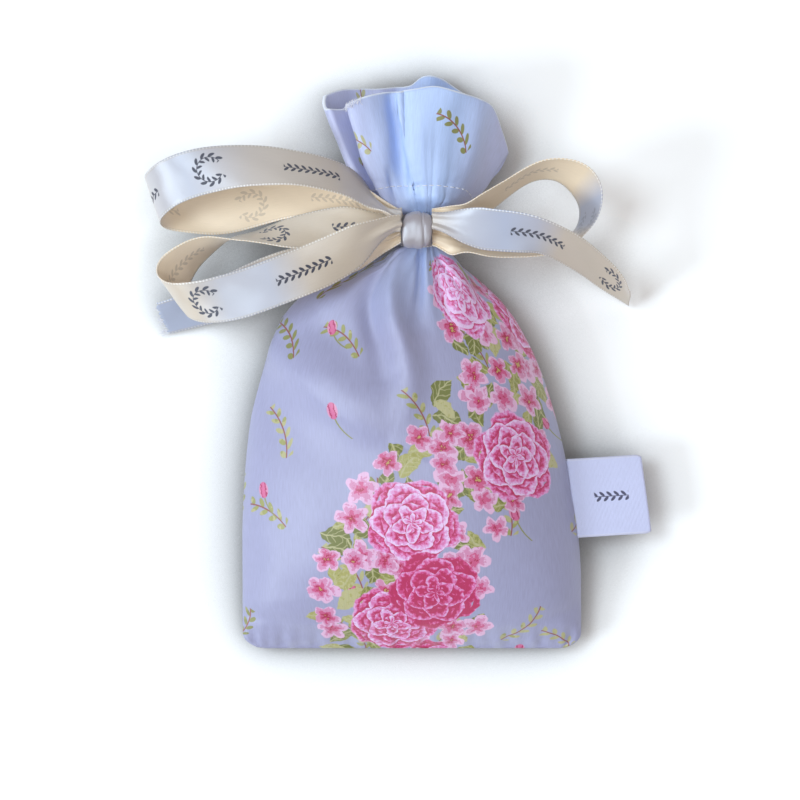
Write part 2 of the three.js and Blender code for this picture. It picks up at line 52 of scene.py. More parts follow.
# Sizes of the bag, as in the solids
BAG_WIDTH = 109
BODY_LENGTH = 134
FILL_HEIGHT = 36
REST_SHARE = 0.406
CLOTH_WALL = 0.5
HEM_WALL = 1.0
HEM_DEPTH = 38
SEAM_GAP = 0.12
NECK_RADIUS = 7.5
NECK_HEIGHT = 15
NECK_SHIFT = 2.5
NECK_LENGTH = 9.6
PLEAT_COUNT = 14
FINE_PLEAT_COUNT = 31
PLEAT_DEPTH = 0.9
FRILL_LENGTH = 51
FRILL_REACH = 31
FRILL_DEPTH = 26
CORE_SHARE = 0.2
BUNCH_SHARE = 0.2
PLEAT_FADE_SHARE = 0.35
BULB_SHARE = 0.5
PANEL_CUT = 118  # width of a panel before the bag was filled
PANEL_NECK = 143  # from a panel's bottom edge up to its neck
CORNER_ACROSS = 8
CORNER_ALONG = 5
SEAM_CLOSING = 6  # how far up from the bottom seam the panels draw together

# Steps along a panel, and how far the filling stays inside the bag
BODY_ROWS = 150
FRILL_ROWS = 46
FILLING_SIDE_GAP = 9.5
FILLING_TOP_GAP = 2.2
FILLING_BED_GAP = 1.6

# Sizes of the sewing
ALLOWANCE_START = 1.3  # from the seam to where the doubled cloth is free
ALLOWANCE_WIDTH = 5.8
BOTTOM_SEAM_INSET = 8.6
OVERLOCK_STEP = 0.75
HEM_STITCH_Y = 94
STITCH_LENGTH = 1.7
STITCH_PITCH = 2.4

# Colours of the cloth between the flowers, of the frill's painted light (lighter and bluer, most in its
# middle), and of satin's painted cool reflection
CLOTH_WHITE = (0.345, 0.355, 0.545)
FRILL_PAINTED_LIGHT = (0.44, 0.58, 0.90)
FRILL_SIDES_PAINTED_LIGHT = (0.49, 0.52, 0.76)
SATIN_PAINTED_REFLECTION = (0.40, 0.45, 0.585)

# Sizes of the label
LABEL_REACH = 24
LABEL_WIDTH = 25.5
LABEL_SHARE = 0.361
LABEL_ANGLE = 6.5
LABEL_WALL = 0.3
LABEL_CORNER = 2.2
LABEL_CORNER_CUT = 1.3

# Sizes of the ribbon
RIBBON_WIDTH = 15
RIBBON_WALL = 0.3
WRAP_WIDTH = 9
WRAP_WALL = 1
WRAP_CLEARANCE = 0.4
KNOT_WIDTH = 8.6
KNOT_LENGTH = 12
KNOT_DEPTH = 7
KNOT_CLEARANCE = 0.7
KNOT_SHIFT = 1.6
GATHER_LENGTH = 18
GATHER_END_SHARE = 0.35
RIBBON_PIXELS = 47
KNOT_PIXELS = (417, 233)

# Rows of the body: along, left edge, right edge, crown, seam and underside.
BODY_SHARES = np.array([
    [0, 1, 1, 0.215, 0.194, 0.173],
    [0.02, 1, 1, 0.31, 0.204, 0.12],
    [0.06, 1, 1, 0.49, 0.23, 0.035],
    [0.12, 1, 0.998, 0.67, 0.265, -0.005],
    [0.2, 1, 0.994, 0.82, 0.3, -0.014],
    [0.29, 1, 0.97, 0.93, 0.325, -0.014],
    [0.38, 0.99, 0.922, 0.98, 0.335, -0.014],
    [0.47, 0.972, 0.876, 1, 0.345, -0.014],
    [0.56, 0.94, 0.809, 0.995, 0.352, -0.014],
    [0.65, 0.879, 0.724, 0.965, 0.36, -0.014],
    [0.72, 0.824, 0.638, 0.92, 0.37, -0.008],
    [0.79, 0.741, 0.528, 0.86, 0.38, 0.015],
    [0.84, 0.626, 0.411, 0.805, 0.39, 0.05],
    [0.885, 0.43, 0.265, 0.745, 0.4, 0.09],
    [0.925, 0.2, 0.115, 0.69, 0.41, 0.14],
])

# The frill's edge once round from the left seam over the front: across, along and up.
HEM_SHARES = np.array([
    [-1, 0.85, -0.05],
    [-0.99, 0.77, 0.14],
    [-0.9, 0.765, 0.24],
    [-0.66, 0.775, 0],
    [-0.76, 0.78, 0.5],
    [-0.55, 0.83, 0.58],
    [-0.31, 0.865, 0.42],
    [-0.17, 0.865, 0.36],
    [-0.03, 0.88, 0.5],
    [0.16, 0.895, 0.6],
    [0.38, 0.86, 0.6],
    [0.6, 0.825, 0.44],
    [0.75, 0.77, 0.24],
    [0.86, 0.62, 0.02],
    [0.92, 0.5, -0.13],
    [0.86, 0.6, -0.26],
    [0.62, 0.78, -0.36],
    [0.36, 0.92, -0.3],
    [0.1, 0.99, -0.2],
    [-0.08, 0.93, -0.3],
    [-0.24, 0.92, -0.38],
    [-0.42, 0.91, -0.32],
    [-0.62, 0.91, -0.38],
    [-0.82, 0.9, -0.32],
])
HEM_RIGHT_SEAM = 14

# Stations of the ribbon in the photograph's pixels: one edge, the other edge, the middle's
# height as a share of the stretch's depth, and which edge is nearer.
UPPER_LOOP = (81.8, 24, [
    [402, 216, 402, 222, 0.06, 0],
    [385, 211, 388, 219, 0.05, -0.7],
    [366, 184, 372, 212, -0.12, -0.8],
    [342, 165, 344, 198, 0.12, -1],
    [300, 155, 301, 191, 0.36, -1],
    [262, 150, 267, 190, 0.4, -1],
    [225, 150, 234, 193, 0.4, -1],
    [190, 155, 203, 200, 0.34, -1],
    [164, 164, 180, 209, 0.22, -1],
    [150, 174, 166, 219, 0.06, -1],
    [146, 181, 161, 226, -0.12, -1],
    [152, 188, 168, 232, -0.34, -1],
    [172, 191, 190, 235, -0.46, -1],
    [204, 192, 219, 237, -0.52, -1],
    [245, 186, 255, 229, -0.54, -1],
    [285, 179, 291, 218, -0.54, -0.8],
    [325, 183, 330, 216, -0.45, -0.5],
    [362, 197, 366, 216, -0.26, 0],
    [387, 211, 388, 218, -0.17, 0],
    [402, 218, 402, 224, -0.13, 0],
])
LOWER_LOOP = (78, 24, [
    [401, 222, 401, 231, 0.15, 0],
    [390, 220, 393, 237, 0.19, 0.2],
    [368, 224, 377, 253, 0.26, 0.7],
    [343, 234, 356, 274, 0.32, 1],
    [308, 248, 323, 293, 0.42, 1],
    [275, 260, 290, 307, 0.48, 1],
    [244, 272, 257, 319, 0.48, 1],
    [213, 282, 226, 325, 0.42, 1],
    [188, 286, 205, 325, 0.32, 1],
    [169, 286, 191, 320, 0.16, 1],
    [158, 276, 185, 313, -0.06, 1],
    [160, 262, 184, 299, -0.24, 1],
    [174, 250, 190, 284, -0.34, 1],
    [191, 242, 198, 268, -0.38, 1],
    [210, 239, 213, 253, -0.38, 1],
    [232, 242, 232, 238, -0.34, 1],
    [256, 245, 254, 233, -0.27, 1],
    [284, 248, 279, 224, -0.16, 0.9],
    [318, 250, 311, 216, -0.08, 0.75],
    [348, 247, 339, 212, 0, 0.6],
    [374, 240, 369, 216, 0.04, 0.3],
    [390, 230, 388, 220, 0, 0.1],
    [401, 229, 401, 221, -0.02, 0],
])
RIGHT_LOOP = (53.6, 20, [
    [432, 216, 432, 224, -0.02, 0],
    [447, 212, 449, 226, -0.08, 0.3],
    [462, 208, 474, 221, -0.14, 1],
    [480, 198, 493, 210, -0.14, 1],
    [501, 186, 511, 196, -0.18, 1],
    [523, 171, 529, 184, -0.18, 1],
    [543, 163, 545, 181, -0.12, 1],
    [567, 163, 559, 184, -0.06, 1],
    [588, 171, 571, 194, -0.04, 1],
    [599, 188, 578, 205, -0.08, 1],
    [600, 206, 580, 215, -0.18, 1],
    [595, 224, 578, 227, -0.34, 1],
    [582, 240, 571, 236, -0.5, 1],
    [564, 252, 558, 240, -0.56, 1],
    [540, 259, 538, 244, -0.54, 1],
    [512, 260, 512, 244, -0.42, 1],
    [486, 259, 488, 243, -0.28, 1],
    [462, 256, 464, 242, -0.14, 1],
    [446, 249, 447, 239, -0.08, 0],
    [432, 243, 432, 236, -0.08, 0],
])
LEFT_TAIL = (79, 22, [
    [401, 233, 401, 241, -0.13, 0],
    [387, 236, 388, 250, -0.15, 0.2],
    [362, 238, 366, 262, -0.13, 0.3],
    [332, 240, 340, 273, -0.22, 0.4],
    [304, 247, 316, 286, -0.49, 1],
    [277, 254, 291, 294, -0.6, 1],
    [246, 266, 260, 307, -0.7, 1],
    [215, 281, 229, 320, -0.78, 1],
    [187, 295, 202, 326, -0.86, 1],
    [155, 305, 167, 335, -0.93, 1],
])
RIGHT_TAIL = (65.5, 24, [
    [432, 215, 432, 232, 0.1, 0],
    [447, 213, 447, 240, 0.14, 0],
    [468, 212, 469, 249, 0.22, 0.6],
    [492, 213, 494, 254, 0.28, 1],
    [517, 216, 518, 255, 0.3, 1],
    [543, 223, 536, 255, 0.26, 1],
    [567, 234, 555, 262, 0.1, 1],
    [589, 247, 577, 274, -0.14, 1],
    [610, 264, 598, 287, -0.44, 1],
    [626, 282, 616, 297, -0.6, 1],
    [637, 301, 631, 306, -0.74, 1],
])

# Folds of the front: kind, points across and along, heights and widths. A ledge is higher on
# the left of its path.
FRONT_FOLDS = [
    ("ridge", [[2.9, 75], [2.6, 68], [2.2, 61], [1.3, 53], [1, 46]],
     [-1.5, -2.0, -1.9, -1.2, 0], [0.8, 1, 1.3, 1.9, 3]),
    ("ridge", [[-3.2, 72], [-6.4, 62.4], [-6.2, 52.2], [-3.2, 43.2], [-1, 33.6], [-2.2, 24], [-5.8, 15.4]],
     [1.4, 3.0, 3.4, 3.4, 3.0, 2.2, 0.5], [2.4, 2.8, 3.4, 4.0, 4.6, 5, 5]),
    ("ridge", [[-9, 69.8], [-12.6, 62.4], [-14.2, 56], [-12.8, 48], [-10.9, 41.6], [-9.6, 33.6]],
     [-0.8, -1.8, -2.4, -2.4, -1.8, -1.2], [1.8, 2.3, 2.8, 3.2, 3.6, 4]),
    ("ledge", [[-50, 43], [-40, 33], [-28, 23.5], [-17, 16], [-8, 12]],
     [0.6, 4, 5.4, 4.8, 1.4], [4, 4.6, 5, 4.6, 4]),
    ("ridge", [[-33, 55], [-24, 45], [-15, 33]], [-0.4, -1.4, -0.6], [6, 7, 5]),
    ("ridge", [[-44, 47], [-37, 53], [-27, 61], [-19, 67]], [0.6, 1.8, 1.6, 0.4], [7, 8, 7, 4]),
    ("ridge", [[10.9, 73], [13.8, 66], [16, 58], [17, 50]], [0.8, 1.5, 1.1, 0], [2, 3, 4, 6]),
    ("ridge", [[7, 74], [8.6, 66], [10.5, 57], [12, 48]], [-0.6, -1.2, -0.9, 0], [1.2, 1.8, 3, 4]),
    ("ridge", [[16, 71], [22, 62], [27, 50]], [-0.7, -1.1, 0], [1.6, 2.8, 5]),
    ("ridge", [[21, 68], [29, 58], [36, 45]], [0.4, 0.9, 0], [2, 4, 6]),
    ("ridge", [[-17, 68], [-22, 62], [-28, 56]], [-0.6, -0.9, 0], [1.6, 2.4, 4]),
    ("ridge", [[44, 18], [36, 2], [34, -18]], [0, -0.8, 0], [6, 8, 8]),
    ("ridge", [[-52, -44], [-42, -47], [-30, -51]], [-0.5, -0.8, 0], [2.5, 3, 4]),
    ("ridge", [[52, -42], [42, -46], [30, -51]], [-0.5, -0.8, 0], [2.5, 3, 4]),
    ("ridge", [[-50, -12], [-44, -24], [-46, -38]], [0.2, 0.7, 0.2], [4, 5, 4]),
    ("ledge", [[-4.6, 127], [-4.2, 121], [-2.6, 111], [-1, 98.6], [-2.6, 87]],
     [4.4, 4.6, 4.4, 3.2, 0.8], [0.9, 0.9, 1, 1.2, 1.6]),
    ("ridge", [[-20, 97], [-10, 94.8], [0, 94], [10, 94], [20, 97]], [0, -0.35, -0.35, -0.35, 0],
     [0.7, 0.7, 0.7, 0.7, 0.7]),
    ("ridge", [[-8, 101], [-6.4, 95], [-4.8, 88]], [0, -1.3, -0.6], [1.4, 1.2, 1]),
    ("ridge", [[1, 88.2], [4.6, 90.4], [9, 90.2], [12.4, 87.2]], [0.2, 0.9, 0.9, 0.2], [1.6, 2.2, 2.2, 1.6]),
    ("ridge", [[14, 125], [15, 112], [12, 98]], [0, -0.9, 0], [5, 5, 4]),
    ("ridge", [[21, 118], [20, 106], [14, 94]], [0.5, 1.2, 0], [3, 4, 3]),
]

HALF_WIDTH = BAG_WIDTH / 2
BOTTOM_Y = -REST_SHARE * BODY_LENGTH
NECK_Y = BOTTOM_Y + BODY_LENGTH
NECK_START = 1 - NECK_LENGTH / 2 / BODY_LENGTH
FRILL_BASE_Y = NECK_Y + NECK_LENGTH / 2
WRAP_OUTER = NECK_RADIUS + WRAP_CLEARANCE + WRAP_WALL
KNOT_HEIGHT = NECK_HEIGHT + WRAP_OUTER + KNOT_CLEARANCE + KNOT_DEPTH / 2
UP = np.array([0, 0, 1.0])


def place_camera():
    """A long lens straight above the bag, as in the photograph."""
    distance = 1.45
    focus_height = 0.018
    camera = bpy.data.cameras.new("camera")
    camera.sensor_width = 36
    camera.lens = camera.sensor_width * (distance - focus_height) / (PHOTO_SIZE * PIXEL * MM)
    camera.clip_start = 0.05
    holder = bpy.data.objects.new("camera", camera)
    holder.location = (-12 * PIXEL * MM, 80 * PIXEL * MM, distance)
    bpy.context.collection.objects.link(holder)
    bpy.context.scene.camera = holder


def mix(low, high, share):
    return low + (high - low) * share


def smooth(low, high, value):
    """0 up to low, 1 from high on, and a soft rise between."""
    share = np.clip((value - low) / (high - low), 0, 1)
    return share * share * (3 - 2 * share)


def unit(vectors):
    """The same directions with a length of 1."""
    return vectors / np.maximum(np.linalg.norm(vectors, axis=-1, keepdims=True), 1e-9)


def run_along(points):
    """How far each point lies along its line."""
    return np.concatenate([[0], np.cumsum(np.linalg.norm(np.diff(points, axis=0), axis=-1))])


def rows_at(rows, place, closed=False):
    """Rows between the rows of a table, at places counted in rows."""
    rows = np.asarray(rows, float)
    base = np.floor(place).astype(int)
    share = (place - base)[..., None]
    near = []
    for step in (-1, 0, 1, 2):
        index = base + step
        index = index % len(rows) if closed else np.clip(index, 0, len(rows) - 1)
        near.append(rows[index])
    a, b, c, d = near
    return 0.5 * (2 * b + (c - a) * share + (2 * a - 5 * b + 4 * c - d) * share**2
                  + (3 * b - a - 3 * c + d) * share**3)


def body_rows(along):
    """The body's rows at shares of its length; past the last one it runs into the neck."""
    neck = [0, 0, (NECK_HEIGHT + NECK_RADIUS) / FILL_HEIGHT, NECK_HEIGHT / FILL_HEIGHT,
            (NECK_HEIGHT - NECK_RADIUS) / FILL_HEIGHT]
    rows = np.vstack([BODY_SHARES, [NECK_START, *neck], [1, *neck]])
    held = np.minimum(along, NECK_START)
    return rows_at(rows, np.interp(held, rows[:, 0], np.arange(len(rows))))


def pleats(angle):
    """Uneven pleats round the neck, from 0 on a ridge to -1 in a groove."""
    bent = angle + 0.16 * np.sin(3 * angle + 0.7) + 0.09 * np.sin(5 * angle + 2.1)
    ridge = 0.5 * (np.cos(PLEAT_COUNT * bent) - 1)
    fine = 0.5 * (np.cos(FINE_PLEAT_COUNT * bent + 1.3) - 1)
    return 0.75 * ridge + 0.25 * fine


def body_points(along, turn):
    """Points of the filled body, at shares of its length and of a turn from the left seam."""
    row = body_rows(along)
    left, right, crown, seam, under = (row[..., i] for i in range(1, 6))
    rounded = smooth(BODY_SHARES[9, 0], NECK_START, along)
    flat = 1 - smooth(0, BODY_SHARES[5, 0], along)
    angle = 2 * np.pi * turn
    across = -np.cos(angle)
    front = np.sin(angle) >= -1e-9
    blunt = mix(np.where(front, 2.3, 3.0), 2, rounded) + 2 * flat
    swell = (1 - np.minimum(1, np.abs(across)) ** blunt) ** mix(0.72, 0.5, rounded)
    left_edge = mix(NECK_RADIUS - NECK_SHIFT, HALF_WIDTH, left)
    right_edge = mix(NECK_RADIUS + NECK_SHIFT, HALF_WIDTH, right)
    height = np.where(front, mix(seam, crown, swell), mix(seam, under, swell))
    pleat = PLEAT_DEPTH * rounded * pleats(angle)
    x = (right_edge - left_edge) / 2 + across * ((right_edge + left_edge) / 2 + pleat)
    z = FILL_HEIGHT * height + pleat * np.sin(angle)
    y = BOTTOM_Y + along * BODY_LENGTH + 0 * z
    return np.stack([x, y, np.maximum(0, z)], -1)


def hem_points(turn):
    """Points of the frill's edge."""
    back_rows = len(HEM_SHARES) - HEM_RIGHT_SEAM
    place = np.where(turn <= 0.5, 2 * turn * HEM_RIGHT_SEAM,
                     HEM_RIGHT_SEAM + (2 * turn - 1) * back_rows)
    row = rows_at(HEM_SHARES, place % len(HEM_SHARES), closed=True)
    return np.array([NECK_SHIFT, NECK_Y, NECK_HEIGHT]) + row * [FRILL_REACH, FRILL_LENGTH, FRILL_DEPTH]


def frill_points(rise, turn):
    """Points of the frill between the neck, where rise is 0, and its edge."""
    neck = body_points(np.ones_like(turn), turn)
    edge = hem_points(turn)
    spread = rise**BULB_SHARE
    angle = 2 * np.pi * turn
    fade = (1 - smooth(0, PLEAT_FADE_SHARE, rise)) * smooth(0, 0.08, rise)
    ripple = -0.4 * PLEAT_DEPTH * fade * pleats(angle)
    x = mix(neck[..., 0], edge[..., 0], spread) + ripple * np.cos(angle)
    y = mix(FRILL_BASE_Y, edge[..., 1], rise)
    z = mix(neck[..., 2], edge[..., 2], spread) - ripple * np.sin(angle)
    return np.stack([x, y, z], -1)


def surface_normals(grid):
    return unit(np.cross(np.gradient(grid, axis=1), np.gradient(grid, axis=0)))


def fold_heights(x, y, folds):
    """How far folds along short paths lift the cloth."""
    total = np.zeros_like(x)
    for kind, path, heights, widths in folds:
        samples = rows_at(np.column_stack([path, heights, widths]),
                          np.linspace(0, len(path) - 1, 12 * (len(path) - 1) + 1))
        off_x = x[..., None] - samples[:, 0]
        off_y = y[..., None] - samples[:, 1]
        distance = np.hypot(off_x, off_y)
        nearest = np.argmin(distance, -1)
        off = np.take_along_axis(distance, nearest[..., None], -1)[..., 0]
        height, width = samples[nearest, 2], samples[nearest, 3]
        if kind == "ridge":
            total += height * np.exp(-((off / width) ** 2))
            continue
        run = unit(np.gradient(samples[:, :2], axis=0))
        turned = run[:, 0] * off_y - run[:, 1] * off_x
        signed = np.sign(np.take_along_axis(turned, nearest[..., None], -1)[..., 0]) * off
        step = 0.5 + 0.5 * np.tanh(signed / width)
        groove = 0.3 * np.exp(-((signed / width / 2 + 1.2) ** 2))
        total += height * (step * np.exp(-((off / (6.5 + 2.4 * width)) ** 2)) - groove)
    return total


def soft_noise(x, y, scale, seed):
    """Gentle random unevenness, a sum of a few waves."""
    waves = np.random.default_rng(seed)
    total = np.zeros_like(x)
    for _ in range(9):
        direction = waves.uniform(0, 2 * np.pi)
        length = scale * waves.uniform(0.6, 1.8)
        phase = waves.uniform(0, 2 * np.pi)
        total += np.sin(2 * np.pi * (x * np.cos(direction) + y * np.sin(direction)) / length + phase)
    return total / 4


def new_piece(name, points, faces, material):
    """A smooth object over points in millimetres."""
    mesh = bpy.data.meshes.new(name)
    mesh.from_pydata((points * MM).tolist(), [], faces)
    mesh.polygons.foreach_set("use_smooth", [True] * len(faces))
    mesh.materials.append(material)
    piece = bpy.data.objects.new(name, mesh)
    bpy.context.collection.objects.link(piece)
    return piece


def map_cloth(piece, coords):
    """Store where each corner lies on the flat cloth, from one place for each point."""
    index = np.empty(len(piece.data.loops), int)
    piece.data.loops.foreach_get("vertex_index", index)
    layer = piece.data.uv_layers.new(name="UVMap")
    layer.data.foreach_set("uv", (coords[index] / UV_UNIT).ravel())


def shell(name, outer, inner, uv, material):
    """A closed sheet between two grids of points."""
    rows, columns = outer.shape[:2]
    count = rows * columns
    index = np.arange(count).reshape(rows, columns)
    a, b = index[:-1, :-1].ravel(), index[:-1, 1:].ravel()
    c, d = b + columns, a + columns
    sides = np.stack([a, b, c, d, a + count, d + count, c + count, b + count], -1).reshape(-1, 4)
    starts = np.concatenate([index[:-1, 0], index[1:, -1], index[0, 1:], index[-1, :-1]])
    ends = np.concatenate([index[1:, 0], index[:-1, -1], index[0, :-1], index[-1, 1:]])
    edges = np.stack([starts, ends, ends + count, starts + count], -1)
    faces = np.concatenate([sides, edges]).tolist()
    points = np.concatenate([outer.reshape(-1, 3), inner.reshape(-1, 3)])
    piece = new_piece(name, points, faces, material)
    map_cloth(piece, np.tile(uv.reshape(-1, 2), (2, 1)))
    piece.data.validate()
    return piece


def mark_points(piece, name, values):
    """Store a value for each point of a sheet's grid, the same on both of its faces."""
    share = piece.data.attributes.new(name, "FLOAT", "POINT")
    share.data.foreach_set("value", np.tile(values.ravel(), 2))


def dress(piece, body, node=None):
    """Hang a piece under its body's empty; if it shows a node, hide that node's solid, which the piece stands
    in for.
    """
    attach(piece, body)
    if node:
        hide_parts(node)


def panel_rows(turn):
    """A panel's outer points row by row, with each row's wall and how bunched it is."""
    along = np.concatenate([NECK_START * np.linspace(0, 1, BODY_ROWS) ** 1.15, [1, 2 - NECK_START]])
    rise = np.linspace(0, 1, FRILL_ROWS + 1)[1:]
    grid = []
    for value in along:
        row = body_points(np.full(len(turn), min(value, 1.0)), turn)
        row[:, 1] = BOTTOM_Y + value * BODY_LENGTH
        grid.append(row)
    for value in rise:
        grid.append(frill_points(np.full(len(turn), value), turn))
    in_hem = (1 - rise) * FRILL_LENGTH < HEM_DEPTH
    walls = np.concatenate([np.full(len(along), CLOTH_WALL), np.where(in_hem, HEM_WALL, CLOTH_WALL)])
    bunched = np.concatenate([smooth(BODY_SHARES[-1, 0], NECK_START, along),
                              1 - smooth(0, BUNCH_SHARE, rise)])
    return np.array(grid), walls, bunched, along, rise


def panel_uv(grid, side):
    """Where each point lies on the flat cloth, in millimetres from the bottom's middle."""
    length = np.array([run_along(row) for row in grid])
    across = (length / length[:, -1:] - 0.5) * PANEL_CUT * side
    up = run_along(grid[:, grid.shape[1] // 2])
    return np.stack([across, np.broadcast_to(up[:, None], across.shape)], -1)


def round_corners(grid):
    """Draw the bag's two bottom corners in."""
    near_side = np.clip((np.abs(grid[..., 0]) - (HALF_WIDTH - CORNER_ACROSS)) / CORNER_ACROSS, 0, 1)
    near_end = np.clip((BOTTOM_Y + CORNER_ALONG - grid[..., 1]) / CORNER_ALONG, 0, 1)
    grid[..., 0] -= np.sign(grid[..., 0]) * CORNER_ACROSS * near_side * (1 - np.sqrt(1 - near_end**2 / 2))
    grid[..., 1] += CORNER_ALONG * near_end * (1 - np.sqrt(1 - near_side**2 / 2))


def close_seams(outer, inner, from_bottom, side):
    """Draw a panel to the bottom seam, and keep it on its own side of the side seams."""
    shut = outer[0, 0, 2] + side * SEAM_GAP / 2 - inner[0, :, 2]
    closing = shut * (1 - smooth(0, SEAM_CLOSING, from_bottom))
    outer[..., 2] += closing
    inner[..., 2] += closing
    past = outer[:, :1, 2] + side * SEAM_GAP / 2 - inner[..., 2]
    need = side * np.maximum(0, side * past)
    outer[..., 2] += need
    inner[..., 2] += need


def make_panel(name, side, columns, folds, seed):
    """A panel of the bag from its left seam to its right one; side is 1 in front and -1 behind."""
    share = np.linspace(0, 1, columns)
    grid, walls, bunched, along, rise = panel_rows(0.5 * share + (0 if side > 0 else 0.5))
    body = slice(0, len(along))
    uv = panel_uv(grid, side)
    from_bottom = uv[..., 1]
    normal = surface_normals(grid)
    x, y = grid[..., 0], grid[..., 1]

    from_seam = smooth(0, 0.12, np.minimum(share, 1 - share))
    row_fade = np.concatenate([smooth(0, 0.08, along) * (1 - smooth(0.95, NECK_START, along)),
                               smooth(0.02, 0.12, rise)])
    lift = fold_heights(x, y, folds) + 0.22 * soft_noise(x, y, 26, seed)
    if side < 0:
        lift = np.clip(lift, -0.6, 0.3)
    grid = grid + normal * (lift * from_seam * row_fade[:, None])[..., None]
    grid[..., 2] = np.maximum(grid[..., 2], TABLE_GAP)
    round_corners(grid)

    # Small puckers along the bottom seam
    pucker = np.sin(2 * np.pi * x / 6.5 + 1.3 * np.sin(x / 9)) * np.sin(2 * np.pi * x / 23)
    pucker = 0.55 * pucker * (from_bottom / 3) * np.exp(1 - from_bottom / 3) * (from_bottom < 25)
    grid = grid + normal * (pucker * from_seam)[..., None]
    grid[..., 2] = np.maximum(grid[..., 2], TABLE_GAP)

    # An uneven frill
    uneven = np.concatenate([np.zeros(len(along)), smooth(0.1, 0.7, rise)])[:, None]
    uneven = 0.35 * soft_noise(uv[..., 0], from_bottom, 17, seed + 5) * uneven
    grid = grid + normal * uneven[..., None]

    normal = surface_normals(grid)
    middle = grid.mean(axis=1, keepdims=True)
    inner = grid - normal * walls[:, None, None]
    core = middle + (grid - middle) * np.array([CORE_SHARE, 1, CORE_SHARE])
    inner = mix(inner, core, bunched[:, None, None])
    close_seams(grid[body], inner[body], from_bottom[body], side)
    piece = shell(name, grid, inner, uv, cotton)
    # Painted highlight: the frill's edge row is marked so the cloth is painted pale there, as light along the
    # hem's rim.
    rim = np.zeros(grid.shape[:2])
    rim[-1] = 1
    mark_points(piece, "painted_rim_highlight_share", rim)
    return piece, grid, float(from_bottom.max())


def ribbon_line(reach, depth, pixels, tied):
    """A stretch's middle, its directions across and along, its run and how far it has opened."""
    fineness = 10
    table = np.array(pixels, float)
    middle_px = (table[:, :2] + table[:, 2:4]) / 2
    side = np.sign(middle_px[-2, 0] - KNOT_PIXELS[0])
    edge = KNOT_WIDTH / 2 + KNOT_CLEARANCE
    edge_px = edge * RIBBON_PIXELS / RIBBON_WIDTH
    far = np.max(np.abs(table[:, [0, 2]] - KNOT_PIXELS[0]))
    scale = reach / (far - edge_px)
    x = KNOT_SHIFT + side * edge + (middle_px[:, 0] - KNOT_PIXELS[0] - side * edge_px) * scale
    y = NECK_Y - (middle_px[:, 1] - KNOT_PIXELS[1]) * scale
    z = KNOT_HEIGHT + table[:, 4] * depth
    flat = np.stack([table[:, 0] - table[:, 2], table[:, 3] - table[:, 1]], -1) / RIBBON_PIXELS
    seen = np.minimum(1, np.linalg.norm(flat, axis=1))
    tilt = table[:, 5] * np.sqrt(1 - seen**2)
    across = unit(np.column_stack([flat, tilt]))
    count = (len(table) - 1) * fineness
    rows = rows_at(np.column_stack([x, y, z, across]), np.linspace(0, len(table) - 1, count + 1))

    # Smooth the stations, the line running straight on at both ends
    window = np.hanning(2 * fineness - 1)
    window /= window.sum()
    pad = len(window) // 2
    ends = np.concatenate([2 * rows[:1] - rows[pad:0:-1], rows, 2 * rows[-1:] - rows[-2:-pad - 2:-1]])
    rows = np.stack([np.convolve(ends[:, i], window, "valid") for i in range(6)], -1)
    middle, across = rows[:, :3], unit(rows[:, 3:])
    near = np.linalg.norm(middle - middle[0], axis=1)
    if tied == 2:
        near = np.minimum(near, np.linalg.norm(middle - middle[-1], axis=1))
    along = unit(np.gradient(middle, axis=0))
    return middle, across, along, run_along(middle), smooth(0, GATHER_LENGTH, near)


def make_ribbon(name, line, tied, seed, face_up, reflection_stops, cut=0.0, frayed=0.0):
    """A stretch of ribbon, tied at one or both ends; cut is how far its end slants."""
    middle, across, along, run, opened = ribbon_line(*line, tied)
    away = unit(np.cross(along, across))
    count = 25
    place = np.linspace(-0.5, 0.5, count)
    width = (RIBBON_WIDTH * mix(GATHER_END_SHARE, 1, opened))[:, None]
    fold = np.cos(2 * np.pi * (1.4 * place + 0.31 * seed))
    fold += 0.35 * np.cos(2 * np.pi * (2.9 * place - 0.2 * seed))
    ripple = 0.75 * (1 - opened)[:, None] ** 1.3 * fold
    edge_curl = 0.12 * np.abs(2 * place) ** 4
    wave = 0.22 * np.sin(run / 7 + 2 * seed)[:, None] * np.sin(np.pi * place * 1.5 + seed)
    wave = wave + 0.12 * np.sin(run / 3.1 + seed)[:, None] * np.cos(np.pi * place * 2.6 + seed)
    slip = -cut * smooth(len(run) - 14, len(run) - 1, np.arange(len(run)))[:, None] * (0.5 + place)
    grid = (middle[:, None] + across[:, None] * (place * width)[..., None]
            + away[:, None] * (ripple + edge_curl + wave)[..., None]
            + along[:, None] * (slip * width)[..., None])
    ragged = frayed * np.random.default_rng(seed).uniform(-1, 0.4, count)
    grid[-1] += along[-1] * ragged[:, None]
    normal = surface_normals(grid)
    facing = np.sign((normal * away[:, None]).sum(-1, keepdims=True))
    normal = normal * np.where(facing == 0, 1, facing) * RIBBON_WALL / 2
    uv = np.stack(np.broadcast_arrays(place * RIBBON_WIDTH, run[:, None]), -1)
    faces = (satin_face, satin_back) if face_up else (satin_back, satin_face)
    piece = shell(name, grid + normal, grid - normal, uv, faces[0])
    piece.data.materials.append(faces[1])
    for index in range((len(grid) - 1) * (count - 1)):
        piece.data.polygons[2 * index + 1].material_index = 1
    mark_points(piece, "open_share", np.repeat(opened, count))
    # Painted reflection: how far each place along the run is painted towards the cool reflection's colour.
    reflection_along = np.interp(run / run[-1], *np.array(reflection_stops, float).T)
    mark_points(piece, "painted_reflection_share", np.repeat(reflection_along, count))
    return piece, grid[-1], float(run[-1])


